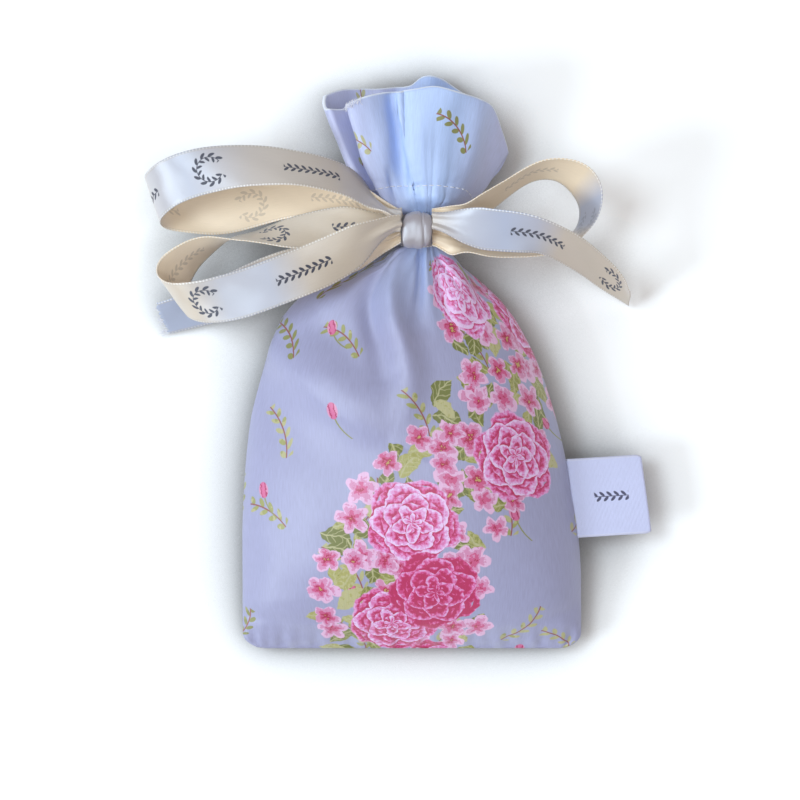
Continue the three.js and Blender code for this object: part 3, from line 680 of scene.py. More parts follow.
def closed_form(name, rings, material):
    """A closed mesh over rings of points, capped at both ends."""
    count = rings.shape[1]
    points = np.concatenate([rings.reshape(-1, 3), rings[0].mean(0)[None], rings[-1].mean(0)[None]])
    faces = []
    for i in range(len(rings) - 1):
        for j in range(count):
            a, b = i * count + j, i * count + (j + 1) % count
            faces.append((a, b, b + count, a + count))
    first, last = len(points) - 2, len(points) - 1
    top = (len(rings) - 1) * count
    for j in range(count):
        k = (j + 1) % count
        faces.append((k, j, first))
        faces.append((top + j, top + k, last))
    piece = new_piece(name, points, faces, material)
    steps = np.linalg.norm(np.roll(rings, -1, axis=1) - rings, axis=-1).cumsum(axis=1)
    within_edges = 0.9 * RIBBON_WIDTH * np.linspace(-0.5, 0.5, len(rings))[:, None]
    coords = np.stack(np.broadcast_arrays(within_edges, steps), -1).reshape(-1, 2)
    map_cloth(piece, np.concatenate([coords, np.zeros((2, 2))]))
    return piece


def threads(name, paths, radius, material):
    """Thin round threads along paths of points, as one piece."""
    sides = 6
    points = []
    faces = []
    for path in paths:
        path = np.asarray(path, float)
        run = unit(np.gradient(path, axis=0))
        guide = UP if abs(run[0, 2]) < 0.9 else np.array([1.0, 0, 0])
        first = unit(np.cross(run, guide))
        second = np.cross(run, first)
        base = len(points)
        for centre, a, b in zip(path, first, second):
            for k in range(sides):
                angle = 2 * math.pi * k / sides
                points.append(centre + radius * (math.cos(angle) * a + math.sin(angle) * b))
        for i in range(len(path) - 1):
            row = base + i * sides
            for k in range(sides):
                n = (k + 1) % sides
                faces.append((row + k, row + n, row + sides + n, row + sides + k))
        faces.append(tuple(base + k for k in reversed(range(sides))))
        faces.append(tuple(len(points) - sides + k for k in range(sides)))
    return new_piece(name, np.array(points), faces, material)


def loose_thread(start, length, straight, bend, first, count):
    """A short thread from an edge, straight at first and then bent."""
    run = np.linspace(first, 1, count)[:, None]
    return start + run * length * np.array(straight) + run**2 * length * np.array(bend)


def fray_end(edge):
    """Loose threads at the left tail's cut end, longest at its upper corner."""
    chance = np.random.default_rng(17)
    paths = []
    for _ in range(26):
        place = chance.uniform() ** 1.6
        at = place * (len(edge) - 1.001)
        base = mix(edge[int(at)], edge[int(at) + 1], at % 1)
        length = mix(3.4, 0.9, place) * chance.uniform(0.5, 1)
        lean = chance.uniform(-0.7, 0.9)
        curl = chance.uniform(-0.5, 0.5)
        paths.append(loose_thread(base, length, (-1, 0.5 * lean, 0), (0, curl, 0.25 * lean), -0.15, 6))
    fringe = threads("frayed_threads_left_tail", paths, 0.07, pale_thread)
    dress(fringe, "left_tail")


def make_knot():
    """The ribbon's turn over the middle of the bow: a pillow with creases down its face."""
    slices = np.concatenate([[-0.86, -0.94], np.linspace(-1, 1, 49), [0.94, 0.86]])
    shrink = np.concatenate([[0.45, 0.78], np.ones(49), [0.78, 0.45]])
    angle = np.linspace(0, 2 * np.pi, 96, endpoint=False)
    s, turn = np.meshgrid(slices, angle, indexing="ij")
    barrel = 0.70 + 0.30 * np.maximum(0, 1 - np.abs(s) ** 2.4) ** 0.5
    creases = 0.05 * smooth(0.40, 0.50, s)
    for deep, place, sway, wide in ((0.07, 0.42, -0.16, 0.09), (0.03, -0.40, -0.24, 0.24),
                                    (0.02, 0.05, 0.30, 0.16)):
        creases += deep * np.exp(-(((s - place - sway * np.cos(turn)) / wide) ** 2))
    size = (barrel - creases) * shrink[:, None]
    y = np.sign(np.cos(turn)) * np.abs(np.cos(turn)) ** 0.78 * KNOT_LENGTH / 2 * size
    z = np.sign(np.sin(turn)) * np.abs(np.sin(turn)) ** 0.88 * KNOT_DEPTH / 2 * size
    x = s * (KNOT_WIDTH / 2 + 0.4) * (1 - 0.12 * np.abs(np.cos(turn)) ** 3) + 0.3 * np.cos(turn)
    rings = np.stack([KNOT_SHIFT + x, NECK_Y + y, KNOT_HEIGHT + z], -1)
    piece = closed_form("satin_knot", rings, satin_plain)
    dress(piece, "bag", "ribbon_knot")


def make_wrap():
    """The ribbon where it goes round the neck, bunched into soft creases."""
    start = 0.35 * np.pi
    angle = np.linspace(start, start + 1.985 * np.pi, 121)
    turn, across = np.meshgrid(angle, np.linspace(-0.5, 0.5, 19), indexing="ij")
    fold = np.cos(2 * np.pi * (2.4 * across + 0.22 * np.sin(turn * 2)))
    fold += 0.5 * np.cos(2 * np.pi * (4.3 * across + 0.3 * np.sin(turn + 1)))
    radius = NECK_RADIUS + WRAP_CLEARANCE + 0.45 + 0.3 * fold - 0.2 * np.abs(2 * across) ** 5
    y = NECK_Y + across * (WRAP_WIDTH + 1.2) + 0.3 * np.sin(3 * turn)
    outer, inner = (np.stack([NECK_SHIFT + reach * np.cos(turn), y, NECK_HEIGHT + reach * np.sin(turn)], -1)
                    for reach in (radius, radius - RIBBON_WALL))
    uv = np.stack([across * RIBBON_WIDTH, (turn - start) * NECK_RADIUS], -1)
    piece = shell("satin_neck_wrap", outer, inner, uv, satin_plain)
    dress(piece, "bag", "ribbon_neck_wrap")


def make_filling():
    """Dried lavender: the room inside the bag, lumpy with buds."""
    count = 120
    angle = np.linspace(0, 2 * np.pi, count, endpoint=False)
    rings = []
    for value in np.linspace(0.11, 0.915, 84):
        left, right = body_points(np.full(2, value), np.array([0.0, 0.5]))[:, 0]
        half = (right - left) / 2
        across = -np.cos(angle) * (half - FILLING_SIDE_GAP) / half
        front_turn = np.arccos(-across) / (2 * np.pi)
        high = body_points(np.full(count, value), front_turn)
        low = body_points(np.full(count, value), 1 - front_turn)
        dip = np.minimum(0, fold_heights(high[:, 0], high[:, 1], FRONT_FOLDS))
        top = high[:, 2] - FILLING_TOP_GAP + dip
        bottom = low[:, 2] + FILLING_BED_GAP
        centre = (top + bottom) / 2
        reach = np.where(np.sin(angle) >= 0, np.maximum(top - centre, 0.1), np.minimum(bottom - centre, -0.1))
        z = centre + reach * np.abs(np.sin(angle)) ** 0.6
        rings.append(np.stack([(left + right) / 2 + across * half, high[:, 1], z], -1))
    rings = np.array(rings)
    x, y, z = (rings[..., i] for i in range(3))
    lump = 0.45 * soft_noise(x, y + 3 * z, 4.5, 21) + 0.25 * soft_noise(x, y - z, 2.6, 22)
    away = unit(rings - rings.mean(axis=1, keepdims=True))
    rings = rings - away * (0.5 + np.clip(lump, -0.5, 0.5))[..., None]
    piece = closed_form("dried_lavender_filling", rings, dried)
    dress(piece, "bag", "lavender_filling")


def make_allowance(node, seam, inwards):
    """A strip of doubled cloth inside a seam, with an overlocked edge."""
    run = run_along(seam)
    reach = np.linspace(ALLOWANCE_START, ALLOWANCE_START + ALLOWANCE_WIDTH, 7)
    wave = 0.05 * np.sin(run / 1.7)[:, None] * (reach / 7)
    uv = np.stack(np.broadcast_arrays(reach, run[:, None]), -1)
    layers = []
    for lift in (0.2, -0.2):
        grid = seam[:, None] + inwards * reach[:, None] + UP * (lift + wave)[..., None]
        layers.append(shell(node, grid + 0.12 * UP, grid - 0.12 * UP, uv, cotton))
    bpy.ops.object.select_all(action="DESELECT")
    for layer in layers:
        layer.select_set(True)
    piece = layers[0]
    bpy.context.view_layer.objects.active = piece
    bpy.ops.object.join()
    piece.name = "cloth_" + node

    place = np.linspace(0, run[-1], int(run[-1] / OVERLOCK_STEP))
    edge = np.stack([np.interp(place, run, seam[:, i]) for i in range(3)], -1)
    zigzag = np.where(np.arange(len(place)) % 2, 5.4, 7.2)[:, None]
    stitch = threads("overlock_" + node, [edge + inwards * zigzag + 0.36 * UP], 0.11, thread)
    dress(piece, "bag", node)
    dress(stitch, "bag")


def make_allowances():
    along = np.linspace(0.07, 0.87, 60)
    for node, turn, inwards in (("left_seam_allowance", 0.0, 1), ("right_seam_allowance", 0.5, -1)):
        seam = body_points(along, np.full(len(along), turn))
        make_allowance(node, seam, np.array([inwards, 0, 0.0]))
    low, high = body_points(np.array([0, 0.06]), np.zeros(2))[:, 2]
    half = HALF_WIDTH - BOTTOM_SEAM_INSET
    seam = np.column_stack([np.linspace(-half, half, 60), np.full(60, BOTTOM_Y), np.full(60, low)])
    make_allowance("bottom_seam_allowance", seam, np.array([0, 1, (high - low) / 7.3]))


def make_label():
    """Tape folded in half, its fold at the outer end and its ends in the side seam."""
    seam = body_points(np.array([LABEL_SHARE]), np.array([0.5]))[0]
    lean = math.radians(LABEL_ANGLE)
    forward = np.array([math.cos(lean - 0.05), math.sin(lean - 0.05), 0])
    upward = np.array([-math.sin(lean + 0.02), math.cos(lean + 0.02), 0])
    radius = 0.45
    straight = LABEL_REACH - radius - 0.25
    top = np.column_stack([np.linspace(-0.35, straight, 40), np.full(40, radius)])
    bend = np.linspace(np.pi / 2, -np.pi / 2, 13)[1:-1]
    turn = np.column_stack([straight + radius * np.cos(bend), radius * np.sin(bend)])
    path = np.concatenate([top, turn, top[::-1] * [1, -1]])
    run = run_along(path)
    reach, height = path[:, :1], path[:, 1:]
    place = np.linspace(-0.5, 0.5, 33)
    away = reach / LABEL_REACH
    curl = 0.55 * away**2 * np.cos(np.pi * place) - 0.35 * away * (place + 0.5) ** 2
    pinch = 0.25 * np.exp(-reach / 1.5) * np.sign(height)
    z = height - pinch + curl
    corner = np.clip((reach - (LABEL_REACH - LABEL_CORNER)) / LABEL_CORNER, 0, 1)
    narrow = 1 - 2 * LABEL_CORNER_CUT / LABEL_WIDTH * (1 - np.sqrt(np.maximum(0, 1 - corner**2)))
    across = place * LABEL_WIDTH * narrow
    grid = seam + forward * reach[..., None] + upward * across[..., None] + UP * z[..., None]
    normal = surface_normals(grid) * LABEL_WALL / 2
    uv = np.stack(np.broadcast_arrays(across, run[:, None]), -1)
    piece = shell("folded_label", grid + normal, grid - normal, uv, tape)
    dress(piece, "label", "side_label")


def make_stitches():
    """Running stitches that hold the hem down, and loose threads at a corner of the frill."""
    row = int(np.argmin(np.abs(front_grid[:, front_grid.shape[1] // 2, 1] - HEM_STITCH_Y)))
    line, over = front_grid[row], surface_normals(front_grid)[row]
    length = run_along(line)
    paths = []
    place = 1.0
    while place < length[-1] - 2:
        start, end = np.interp([place, place + STITCH_LENGTH], length, np.arange(len(length)))
        spots = np.linspace(start, end, 4)
        base = np.floor(spots).astype(int)
        lift = np.array([-0.12, 0.08, 0.08, -0.12])[:, None]
        paths.append(mix(line[base], line[base + 1], (spots - base)[:, None]) + over[base] * lift)
        place += STITCH_PITCH
    dress(threads("hem_stitches", paths, 0.15, pale_thread), "bag")

    rim = front_grid[-1]
    frayed = np.nonzero((rim[:, 0] > -23.5) & (rim[:, 0] < -15.5) & (rim[:, 2] > NECK_HEIGHT + 8))[0]
    chance = np.random.default_rng(5)
    paths = []
    for _ in range(34):
        start = rim[chance.choice(frayed)] + 0.15 * UP
        length = chance.uniform(0.8, 2.8)
        lean = chance.uniform(-0.6, 0.6)
        curl = chance.uniform(-0.5, 0.5)
        paths.append(loose_thread(start, length, (lean, -0.9, 0.05), (curl, 0.1, 0.1), -0.25, 7))
    dress(threads("frayed_threads_frill", paths, 0.08, pale_thread), "bag")


def operation(kind, turned=False):
    """An operator of Value that makes a math node."""
    def make(self, other):
        pair = (other, self) if turned else (self, other)
        return self.shader.calc(kind, *pair)
    return make


class Value:
    """A number in a shader, which arithmetic works on."""

    def __init__(self, shader, socket):
        self.shader = shader
        self.socket = socket

    __add__ = operation("ADD")
    __sub__ = operation("SUBTRACT")
    __rsub__ = operation("SUBTRACT", turned=True)
    __mul__ = operation("MULTIPLY")
    __truediv__ = operation("DIVIDE")
    __pow__ = operation("POWER")
    __lt__ = operation("LESS_THAN")
    __gt__ = operation("GREATER_THAN")

    def __abs__(self):
        return self.calc("ABSOLUTE")

    def calc(self, kind, *others):
        return self.shader.calc(kind, self, *others)

    def wave(self, period):
        return (self * (2 * math.pi / period)).calc("SINE")

    def rise(self, low, high, to_low=0.0, to_high=1.0):
        """From one value at low to the other at high, and held beyond."""
        made = self.shader.node("ShaderNodeMapRange", self, low, high, to_low, to_high)
        return Value(self.shader, made.outputs[0])

    def below(self, limit, soft=0.12):
        """1 where the value is under the limit, with a soft edge."""
        return (limit - self).rise(-soft, soft)


class Shader:
    """A material's nodes, made one call at a time."""

    def __init__(self, name):
        self.material = bpy.data.materials.new(name)
        self.material.use_nodes = True
        self.nodes = self.material.node_tree.nodes
        self.main = self.nodes["Principled BSDF"]

    def feed(self, socket, value):
        """Link or set an input; a colour is given without alpha."""
        if isinstance(value, Value):
            value = value.socket
        if isinstance(value, bpy.types.NodeSocket):
            self.material.node_tree.links.new(value, socket)
        else:
            socket.default_value = (*value, 1) if socket.type == "RGBA" else value

    def feed_all(self, node, values):
        for name, value in values.items():
            self.feed(node.inputs[name], value)

    def node(self, kind, *values, **settings):
        made = self.nodes.new(kind)
        for key, value in settings.items():
            setattr(made, key, value)
        for socket, value in zip(made.inputs, values):
            self.feed(socket, value)
        return made

    def calc(self, kind, *values):
        return Value(self, self.node("ShaderNodeMath", *values, operation=kind).outputs[0])

    def vector(self, kind, *values):
        return self.node("ShaderNodeVectorMath", *values, operation=kind).outputs[0]

    def scaled(self, vector, factor):
        made = self.node("ShaderNodeVectorMath", vector, operation="SCALE")
        self.feed(made.inputs["Scale"], factor)
        return made.outputs[0]

    def split(self, kind, value):
        made = self.node("ShaderNodeSeparate" + kind, value)
        return [Value(self, socket) for socket in made.outputs]

    def share(self, name):
        """What a piece's points hold under a name."""
        made = self.node("ShaderNodeAttribute", attribute_name=name)
        return Value(self, made.outputs["Fac"])

    def noise(self, vector, scale=1, detail=2):
        """Noise as a value and as a colour."""
        made = self.node("ShaderNodeTexNoise", vector)
        self.feed_all(made, {"Scale": scale, "Detail": detail})
        return Value(self, made.outputs[0]), made.outputs["Color"]

    def blend(self, factor, a, b):
        made = self.node("ShaderNodeMix", data_type="RGBA")
        for index, value in ((0, factor), (6, a), (7, b)):
            self.feed(made.inputs[index], value)
        return made.outputs[2]

    def steps(self, factor, *stops):
        """Plain colours, each from its place on."""
        made = self.node("ShaderNodeValToRGB", factor)
        made.color_ramp.interpolation = "CONSTANT"
        elements = made.color_ramp.elements
        while len(elements) < len(stops):
            elements.new(0.5)
        for element, (place, *colour) in zip(elements, stops):
            element.position = place
            element.color = (*colour, 1)
        return made.outputs[0]

    def cloth_coords(self):
        """Place on the flat cloth in millimetres, then its two numbers across and along."""
        uv = self.node("ShaderNodeUVMap", uv_map="UVMap")
        coords = self.scaled(uv.outputs[0], UV_UNIT)
        return coords, *self.split("XYZ", coords)[:2]

    def finished(self, values, height, distance, strength=0.6):
        """The material, with values for its main node and a height for its bump in metres."""
        bump = self.node("ShaderNodeBump")
        self.feed_all(bump, {"Strength": strength, "Distance": distance, "Height": height})
        self.feed_all(self.main, {**values, "Normal": bump.outputs[0]})
        return self.material

    def cells(self, coords, move, size, jitter):
        """The nearest scattered point: this place from it, its own place, and three chances."""
        move = (*move, 0)
        small = self.scaled(self.vector("ADD", coords, move), 1 / size)
        cell = self.node("ShaderNodeTexVoronoi", small, voronoi_dimensions="2D", feature="F1")
        self.feed_all(cell, {"Scale": 1, "Randomness": jitter})
        centre = cell.outputs["Position"]
        local = self.scaled(self.vector("SUBTRACT", small, centre), size)
        centre = self.vector("SUBTRACT", self.scaled(centre, size), move)
        return local, centre, self.split("Color", cell.outputs["Color"])

    def polar(self, local, turn):
        x, y, _ = self.split("XYZ", local)
        far = self.node("ShaderNodeVectorMath", local, operation="LENGTH").outputs["Value"]
        return Value(self, far), y.calc("ARCTAN2", x) + turn * FULL_TURN

    def turned(self, local, turn):
        made = self.node("ShaderNodeVectorRotate", local, rotation_type="Z_AXIS")
        self.feed(made.inputs["Angle"], turn * FULL_TURN)
        return self.split("XYZ", made.outputs[0])[:2]


def garland(shader, centre, wide):
    """1 near the line along which the print's flowers run."""
    x, y, _ = shader.split("XYZ", centre)
    off = abs(x + (y * 0.045).calc("SINE") * 13 - (y * 0.32 - 2))
    return (off < wide) * (y < PANEL_NECK - 12)


def twig(along, off, period, length, width, stem_width):
    """A stem along off = 0 with separate leaves on both sides; returns stem and leaves."""
    place = (along + off.calc("SIGN") * (period / 4) + 200) / period
    step = (place.calc("FRACT") - 0.5) * period
    side = abs(off) - (0.95 * width + 0.35 * length)
    leaf_x = step * 0.74 + side * 0.67
    leaf_y = side * 0.74 - step * 0.67
    far = (leaf_x / length) ** 2 + (leaf_y / width) ** 2
    return abs(off).below(stem_width, 0.4 * stem_width), far.below(1.0, 0.2)


def print_colours(shader, plain, x, y):
    """A generic flower print: layered blooms, five-petalled blossoms, leaves and sprigs."""
    # Painted light: the cloth's tone turns lighter and bluer from below the neck into the frill, most in the
    # frill's middle and less towards its sides.
    painted_frill_light = shader.blend(abs(x - 12).rise(12, 36), FRILL_PAINTED_LIGHT, FRILL_SIDES_PAINTED_LIGHT)
    colour = shader.blend(y.rise(PANEL_NECK - 34, PANEL_NECK + 14), CLOTH_WHITE, painted_frill_light)
    wobble, wobbles = shader.noise(plain, 0.22, 2.5)
    shift = shader.vector("SUBTRACT", wobbles, (0.5, 0.5, 0.5))
    coords = shader.vector("ADD", plain, shader.scaled(shift, 3.4))
    stroke = shader.noise(plain, 0.9, 3)[0] - 0.5

    # Sprigs with a thin curved stem
    local, centre, chance = shader.cells(plain, (0, 0), 24, 0.6)
    x, y = shader.turned(local, chance[0] * 0.3 + 0.55)
    bent = y - x * x * 0.028
    stem, leaves = twig(x, bent, 3.9, 1.7, 0.8, 0.24)
    rare = shader.split("XYZ", centre)[1] > PANEL_NECK - 8
    shown = abs(x).below(9.6) * (chance[1] > rare.rise(0, 1, 0.35, 0.72))
    green = shader.steps(chance[2] + (wobble - 0.5), (0, 0.24, 0.25, 0.08), (0.4, 0.32, 0.33, 0.11),
                         (0.7, 0.44, 0.43, 0.22))
    colour = shader.blend(leaves * abs(bent).below(4.2, 0.3) * shown, colour, green)
    colour = shader.blend(stem * shown, colour, (0.28, 0.08, 0.07))

    # Small tulip-like buds on stalks, one to a cell
    local, centre, chance = shader.cells(plain, (57, 41), 27, 0.8)
    x, y = shader.turned(local, chance[0] * 0.16 + 0.9)
    shown = (chance[1] > 0.5) * (shader.split("XYZ", centre)[1] < PANEL_NECK - 11)
    stalk = abs(x - y * y * 0.05).below(0.26, 0.1) * shown * abs(y + 4.2).below(4.2)
    colour = shader.blend(stalk, colour, (0.27, 0.28, 0.10))
    cup = ((x / 1.9) ** 2 + ((y - 1.6) / 2.6) ** 2).below(1.0, 0.1) * shown
    petals = shader.steps(abs(x * 0.5) + stroke, (0, 0.62, 0.13, 0.30), (0.35, 0.42, 0.02, 0.12),
                          (0.6, 0.66, 0.27, 0.45))
    colour = shader.blend(cup, colour, petals)

    # Leaves under the flowers
    for move, size, limit in (((3, 71), 12.5, 0.06), ((44, 5), 9.0, 0.12)):
        local, centre, chance = shader.cells(coords, move, size, 0.75)
        x, y = shader.turned(local, chance[0])
        off = abs(y - x * x * 0.05)
        taper = 0.25 * size - x * x * (1.25 / size)
        leaf = off.below(taper) * garland(shader, centre, 27) * (chance[1] > limit)
        rib = (x + 60 + off).calc("PINGPONG", 1.1).below(0.2) * 0.7
        green = shader.steps(chance[2] + stroke, (0, 0.16, 0.18, 0.04), (0.35, 0.27, 0.28, 0.07),
                             (0.6, 0.39, 0.38, 0.13), (0.85, 0.48, 0.46, 0.24))
        green = shader.blend(off.below(0.24).calc("MAXIMUM", rib), green, (0.47, 0.46, 0.25))
        colour = shader.blend(leaf, colour, green)

    # Five-petalled blossoms
    for move, size, limit in (((31, 17), 12.5, 0.22), ((73, 52), 10.5, 0.5)):
        local, centre, chance = shader.cells(coords, move, size, 0.6)
        far, angle = shader.polar(local, chance[0])
        petal = abs((angle * 2.5).calc("COSINE"))
        share = far / ((petal * 0.42 + 0.6) * (0.44 * size))
        blossom = share.below(1.0, 0.03) * garland(shader, centre, 28) * (chance[1] > limit)
        pink = shader.steps(share + stroke + chance[2] * 0.3, (0, 0.50, 0.36, 0.12),
                            (0.18, 0.40, 0.012, 0.07), (0.36, 0.58, 0.09, 0.24),
                            (0.62, 0.64, 0.26, 0.46), (0.92, 0.74, 0.46, 0.68))
        colour = shader.blend(blossom, colour, pink)

    # Large layered blooms
    rings = 4.7
    for move, size, limit, dark in (((9, 22), 33, 0.1, 0.7), ((97, 64), 41, 0.35, 0.4)):
        local, centre, chance = shader.cells(coords, move, size, 0.55)
        far, angle = shader.polar(local, chance[0])
        ring = far / 15.0 * rings
        petal = abs((angle * 2.5 + ring.calc("FLOOR") * 1.9).calc("COSINE"))
        level = ring + (1 - petal) * 0.85
        bloom = level.below(rings, 0.06) * garland(shader, centre, 20) * (chance[1] > limit)
        depth = level.calc("FRACT") - (chance[2] - dark) * 0.8 + stroke * 1.6
        pink = shader.steps(depth, (0, 0.47, 0.018, 0.11), (0.16, 0.60, 0.06, 0.23),
                            (0.36, 0.70, 0.19, 0.46), (0.58, 0.74, 0.36, 0.68), (0.82, 0.80, 0.58, 0.86))
        colour = shader.blend(bloom, colour, pink)
    return colour


def darker(colour, share):
    return tuple(share * part for part in colour)


def printed_cotton():
    shader = Shader("printed_cotton")
    coords, x, y = shader.cloth_coords()
    colour = print_colours(shader, coords, x, y)
    slub = shader.noise(shader.vector("MULTIPLY", coords, (2.6, 0.22, 1)))[0]
    colour = shader.blend(slub.rise(0.3, 0.7, 0.0, 0.8), colour, shader.scaled(colour, 0.86))
    # Painted highlight along the frill's rim, pale blue-white.
    painted_rim_highlight = shader.share("painted_rim_highlight_share").rise(0.4, 0.8) * 0.8
    colour = shader.blend(painted_rim_highlight, colour, (0.86, 0.92, 1.0))
    return shader.finished({
        "Base Color": colour, "Roughness": 0.42, "Specular IOR Level": 0.8, "Sheen Weight": 0.35,
        "Sheen Roughness": 0.35, "Sheen Tint": (0.85, 0.93, 1.0)
    }, x.wave(0.34) * y.wave(0.28) * 0.5 + slub * 1.2, 0.00004, 0.5)


def printed_twig(along, off, half_length):
    stem, leaves = twig(along, off, 2.3, 1.05, 0.45, 0.13)
    return stem.calc("MAXIMUM", leaves) * abs(off).below(2.2, 0.2) * abs(along).below(half_length)


def ribbon_print(across, along):
    """Generic leafy twigs and wreaths, in places along the ribbon."""
    spot = (along + 9).calc("MODULO", 62) - 31
    line = printed_twig(spot - 13, across, 9.5)
    far = spot + 16
    radius = (far * far + across * across).calc("SQRT")
    ring = printed_twig(across.calc("ARCTAN2", far) * 4.1, radius - 4.1, 10.6)
    return line.calc("MAXIMUM", ring)


def satin(name, base, roughness, ink, dull=False):
    """Satin with a picked edge; ink is how strong its print is."""
    shader = Shader(name)
    coords, x, y = shader.cloth_coords()
    from_edge = RIBBON_WIDTH / 2 - abs(x)
    line = from_edge.below(0.8, 0.08) * from_edge.rise(0.35, 0.6)
    dots = from_edge.below(0.55, 0.1) * y.wave(1.05).rise(0.1, 0.6)
    streak = shader.noise(shader.vector("MULTIPLY", coords, (5.5, 0.25, 1)), 1, 3)[0]
    colour = shader.blend(streak.rise(0.3, 0.7, 0.0, 0.5), base, darker(base, 0.88))
    # Painted reflection: blend towards a cool, pale colour where the ribbon is marked as catching bluish
    # light.
    colour = shader.blend(shader.share("painted_reflection_share"), colour, SATIN_PAINTED_REFLECTION)
    shown = ribbon_print(x, y) * shader.share("open_share").rise(0.75, 0.95) * ink
    colour = shader.blend(shown, colour, (0.02, 0.02, 0.045))
    colour = shader.blend(line * 0.4, colour, darker(base, 0.66))
    colour = shader.blend(dots * 0.6, colour, (0.90, 0.89, 0.86))
    if not dull:
        tangent = shader.node("ShaderNodeTangent", direction_type="UV_MAP", uv_map="UVMap")
        shader.feed_all(shader.main, {"Specular Tint": (0.90, 0.95, 1.0), "Anisotropic": 0.9,
                                      "Tangent": tangent.outputs[0]})
    return shader.finished({
        "Base Color": colour, "Roughness": shown.rise(0, 1, roughness, 0.85),
        "Specular IOR Level": 0.8 if dull else 1.0, "IOR": 1.5 if dull else 1.8,
        "Sheen Weight": 0.3, "Sheen Roughness": 0.35
    }, streak * 0.9 + (y.wave(0.3) * 0.12 + dots), 0.00006, 0.5)


def plain_cloth(name, base, roughness=0.8, fine=0.35):
    shader = Shader(name)
    spot = shader.node("ShaderNodeTexCoord").outputs["Object"]
    grain = shader.noise(spot, 1000 / fine / 4, 3)[0]
    colour = shader.blend(grain, darker(base, 0.85), base)
    values = {"Base Color": colour, "Roughness": roughness, "Sheen Weight": 0.2}
    return shader.finished(values, grain, 0.00008)


def label_tape():
    """Pale tape with a small printed twig on each face."""
    shader = Shader("label_tape")
    coords, x, y = shader.cloth_coords()
    base = (0.55, 0.585, 0.82)
    grain = shader.noise(shader.vector("MULTIPLY", coords, (0.5, 4.0, 1)))[0]
    colour = shader.blend(grain.rise(0.3, 0.7, 0.0, 0.6), base, darker(base, 0.9))
    from_fold = abs(y - (LABEL_REACH - 0.5))
    colour = shader.blend(printed_twig(from_fold - 10.5, x, 5.5), colour, (0.06, 0.06, 0.12))
    from_edge = LABEL_WIDTH / 2 - abs(x)
    colour = shader.blend(from_edge.below(0.7, 0.15) * 0.5, colour, (0.66, 0.67, 0.80))
    values = {"Base Color": colour, "Roughness": 0.6, "Sheen Weight": 0.2}
    return shader.finished(values, y.wave(0.42) * 0.5 + grain, 0.00008)


def seen_directly(shader):
    """1 for rays from the camera, a mirror or glass."""
    rays = shader.node("ShaderNodeLightPath").outputs
    total = Value(shader, rays["Is Camera Ray"])
    for name in ("Is Glossy Ray", "Is Transmission Ray"):
        total = total.calc("MAXIMUM", rays[name])
    return total


def lamp(name, place, size, power, colour):
    """A square light aimed at the bag."""
    data = bpy.data.lights.new(name, "AREA")
    data.size = size
    data.energy = power
    data.color = colour
    holder = bpy.data.objects.new(name, data)
    holder.location = place
    holder.rotation_mode = "QUATERNION"
    holder.rotation_quaternion = (Vector(place) - Vector((0, 0.03, 0))).to_track_quat("Z", "Y")
    bpy.context.collection.objects.link(holder)


def light_and_floor():
    scene = bpy.context.scene
    scene.view_settings.view_transform = "Standard"
    scene.world = bpy.data.worlds.new("studio")
    scene.world.use_nodes = True
    back = scene.world.node_tree.nodes["Background"]
    back.inputs["Color"].default_value = (1.0, 0.90, 0.83, 1)
    back.inputs["Strength"].default_value = 0.44
    lamp("key", (-1.6, 0.5, 3.2), 1.3, 54.0, (0.78, 0.90, 1.0))
    lamp("side", (-2.7, -0.9, 1.9), 1.0, 54.0, (0.80, 0.91, 1.0))
    lamp("overhead", (0.25, -0.3, 2.2), 1.0, 10.0, (0.90, 0.95, 1.0))

    mesh = bpy.data.meshes.new("floor")
    half = 3.0
    corners = [(-half, -half, 0), (half, -half, 0), (half, half, 0), (-half, half, 0)]
    mesh.from_pydata(corners, [], [(0, 1, 2, 3)])
    floor = bpy.data.objects.new("floor", mesh)
    floor.location.z = -0.0004
    bpy.context.collection.objects.link(floor)
    shader = Shader("pale_floor")
    # Painted shadow: the floor's colour darkens to grey close to the bag, read from ambient occlusion.
    near = shader.node("ShaderNodeAmbientOcclusion", samples=8)
    near.inputs["Distance"].default_value = 0.026
    open_share = Value(shader, near.outputs["AO"]).rise(0.4, 0.97)
    shader.feed_all(shader.main, {
        "Base Color": shader.blend(open_share, (0.17, 0.17, 0.17), (0.97, 0.99, 1.0)),
        "Roughness": 0.9, "Specular IOR Level": 0.0, "Emission Color": (1, 1, 1),
        "Emission Strength": seen_directly(shader) * 0.06})
    mesh.materials.append(shader.material)


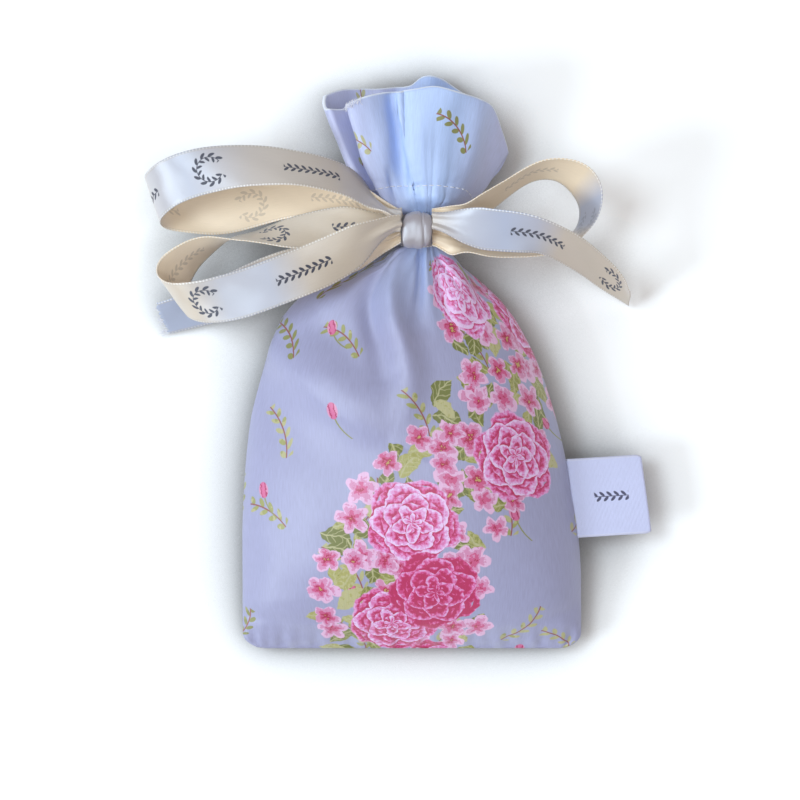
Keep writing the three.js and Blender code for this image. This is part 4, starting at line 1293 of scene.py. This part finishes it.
place_camera()
light_and_floor()

cotton = printed_cotton()
satin_face = satin("satin_face", (0.61, 0.52, 0.41), 0.4, 1.0)
satin_back = satin("satin_back", (0.84, 0.70, 0.52), 0.5, 0.25, dull=True)
satin_plain = satin("satin_plain", (0.34, 0.315, 0.35), 0.38, 0.0)
thread = plain_cloth("thread", (0.62, 0.62, 0.74))
pale_thread = plain_cloth("pale_thread", (0.78, 0.79, 0.88))
tape = label_tape()
dried = plain_cloth("dried_lavender", (0.22, 0.16, 0.36), 0.95, 2.5)

front, front_grid, front_length = make_panel("bag_front", 1, 181, FRONT_FOLDS, 3)
dress(front, "bag", "front_panel")
back, _, back_length = make_panel("bag_back", -1, 141, [], 8)
dress(back, "bag", "back_panel")

# Body, route, tied ends, which face is up, how much painted cool reflection it has along its run, cut and
# frayed end
stretches = [
    ("upper_loop", UPPER_LOOP, 2, False,
     ((0, 0.3), (0.15, 0.1), (0.3, 0.3), (0.42, 0.8), (0.5, 0.5), (0.57, 0), (1, 0))),
    ("lower_loop", LOWER_LOOP, 2, False,
     ((0, 0.1), (0.12, 0), (0.2, 0.1), (0.27, 0.8), (0.36, 0.7), (0.43, 0), (1, 0))),
    ("right_loop", RIGHT_LOOP, 2, False,
     ((0, 0), (0.42, 0), (0.49, 0.9), (0.56, 0.9), (0.62, 0.1), (1, 0))),
    ("left_tail", LEFT_TAIL, 1, True, ((0, 0), (0.5, 0.3), (0.8, 1), (1, 1)), 0.0, 0.9),
    ("right_tail", RIGHT_TAIL, 1, True,
     ((0, 0.2), (0.12, 0.7), (0.3, 1), (0.42, 0.8), (0.54, 0.1), (1, 0)), 0.25, 0.15),
]
for seed, (body, line, tied, *look) in enumerate(stretches, 1):
    piece, end, length = make_ribbon("satin_" + body, line, tied, seed, *look)
    if body == "left_tail":
        fray_end(end)
    dress(piece, body, "ribbon_" + body)
    length * MM

make_knot()
make_wrap()
make_filling()
make_allowances()
make_label()
make_stitches()

for panel, length in ((front, front_length), (back, back_length)):
    length * MM
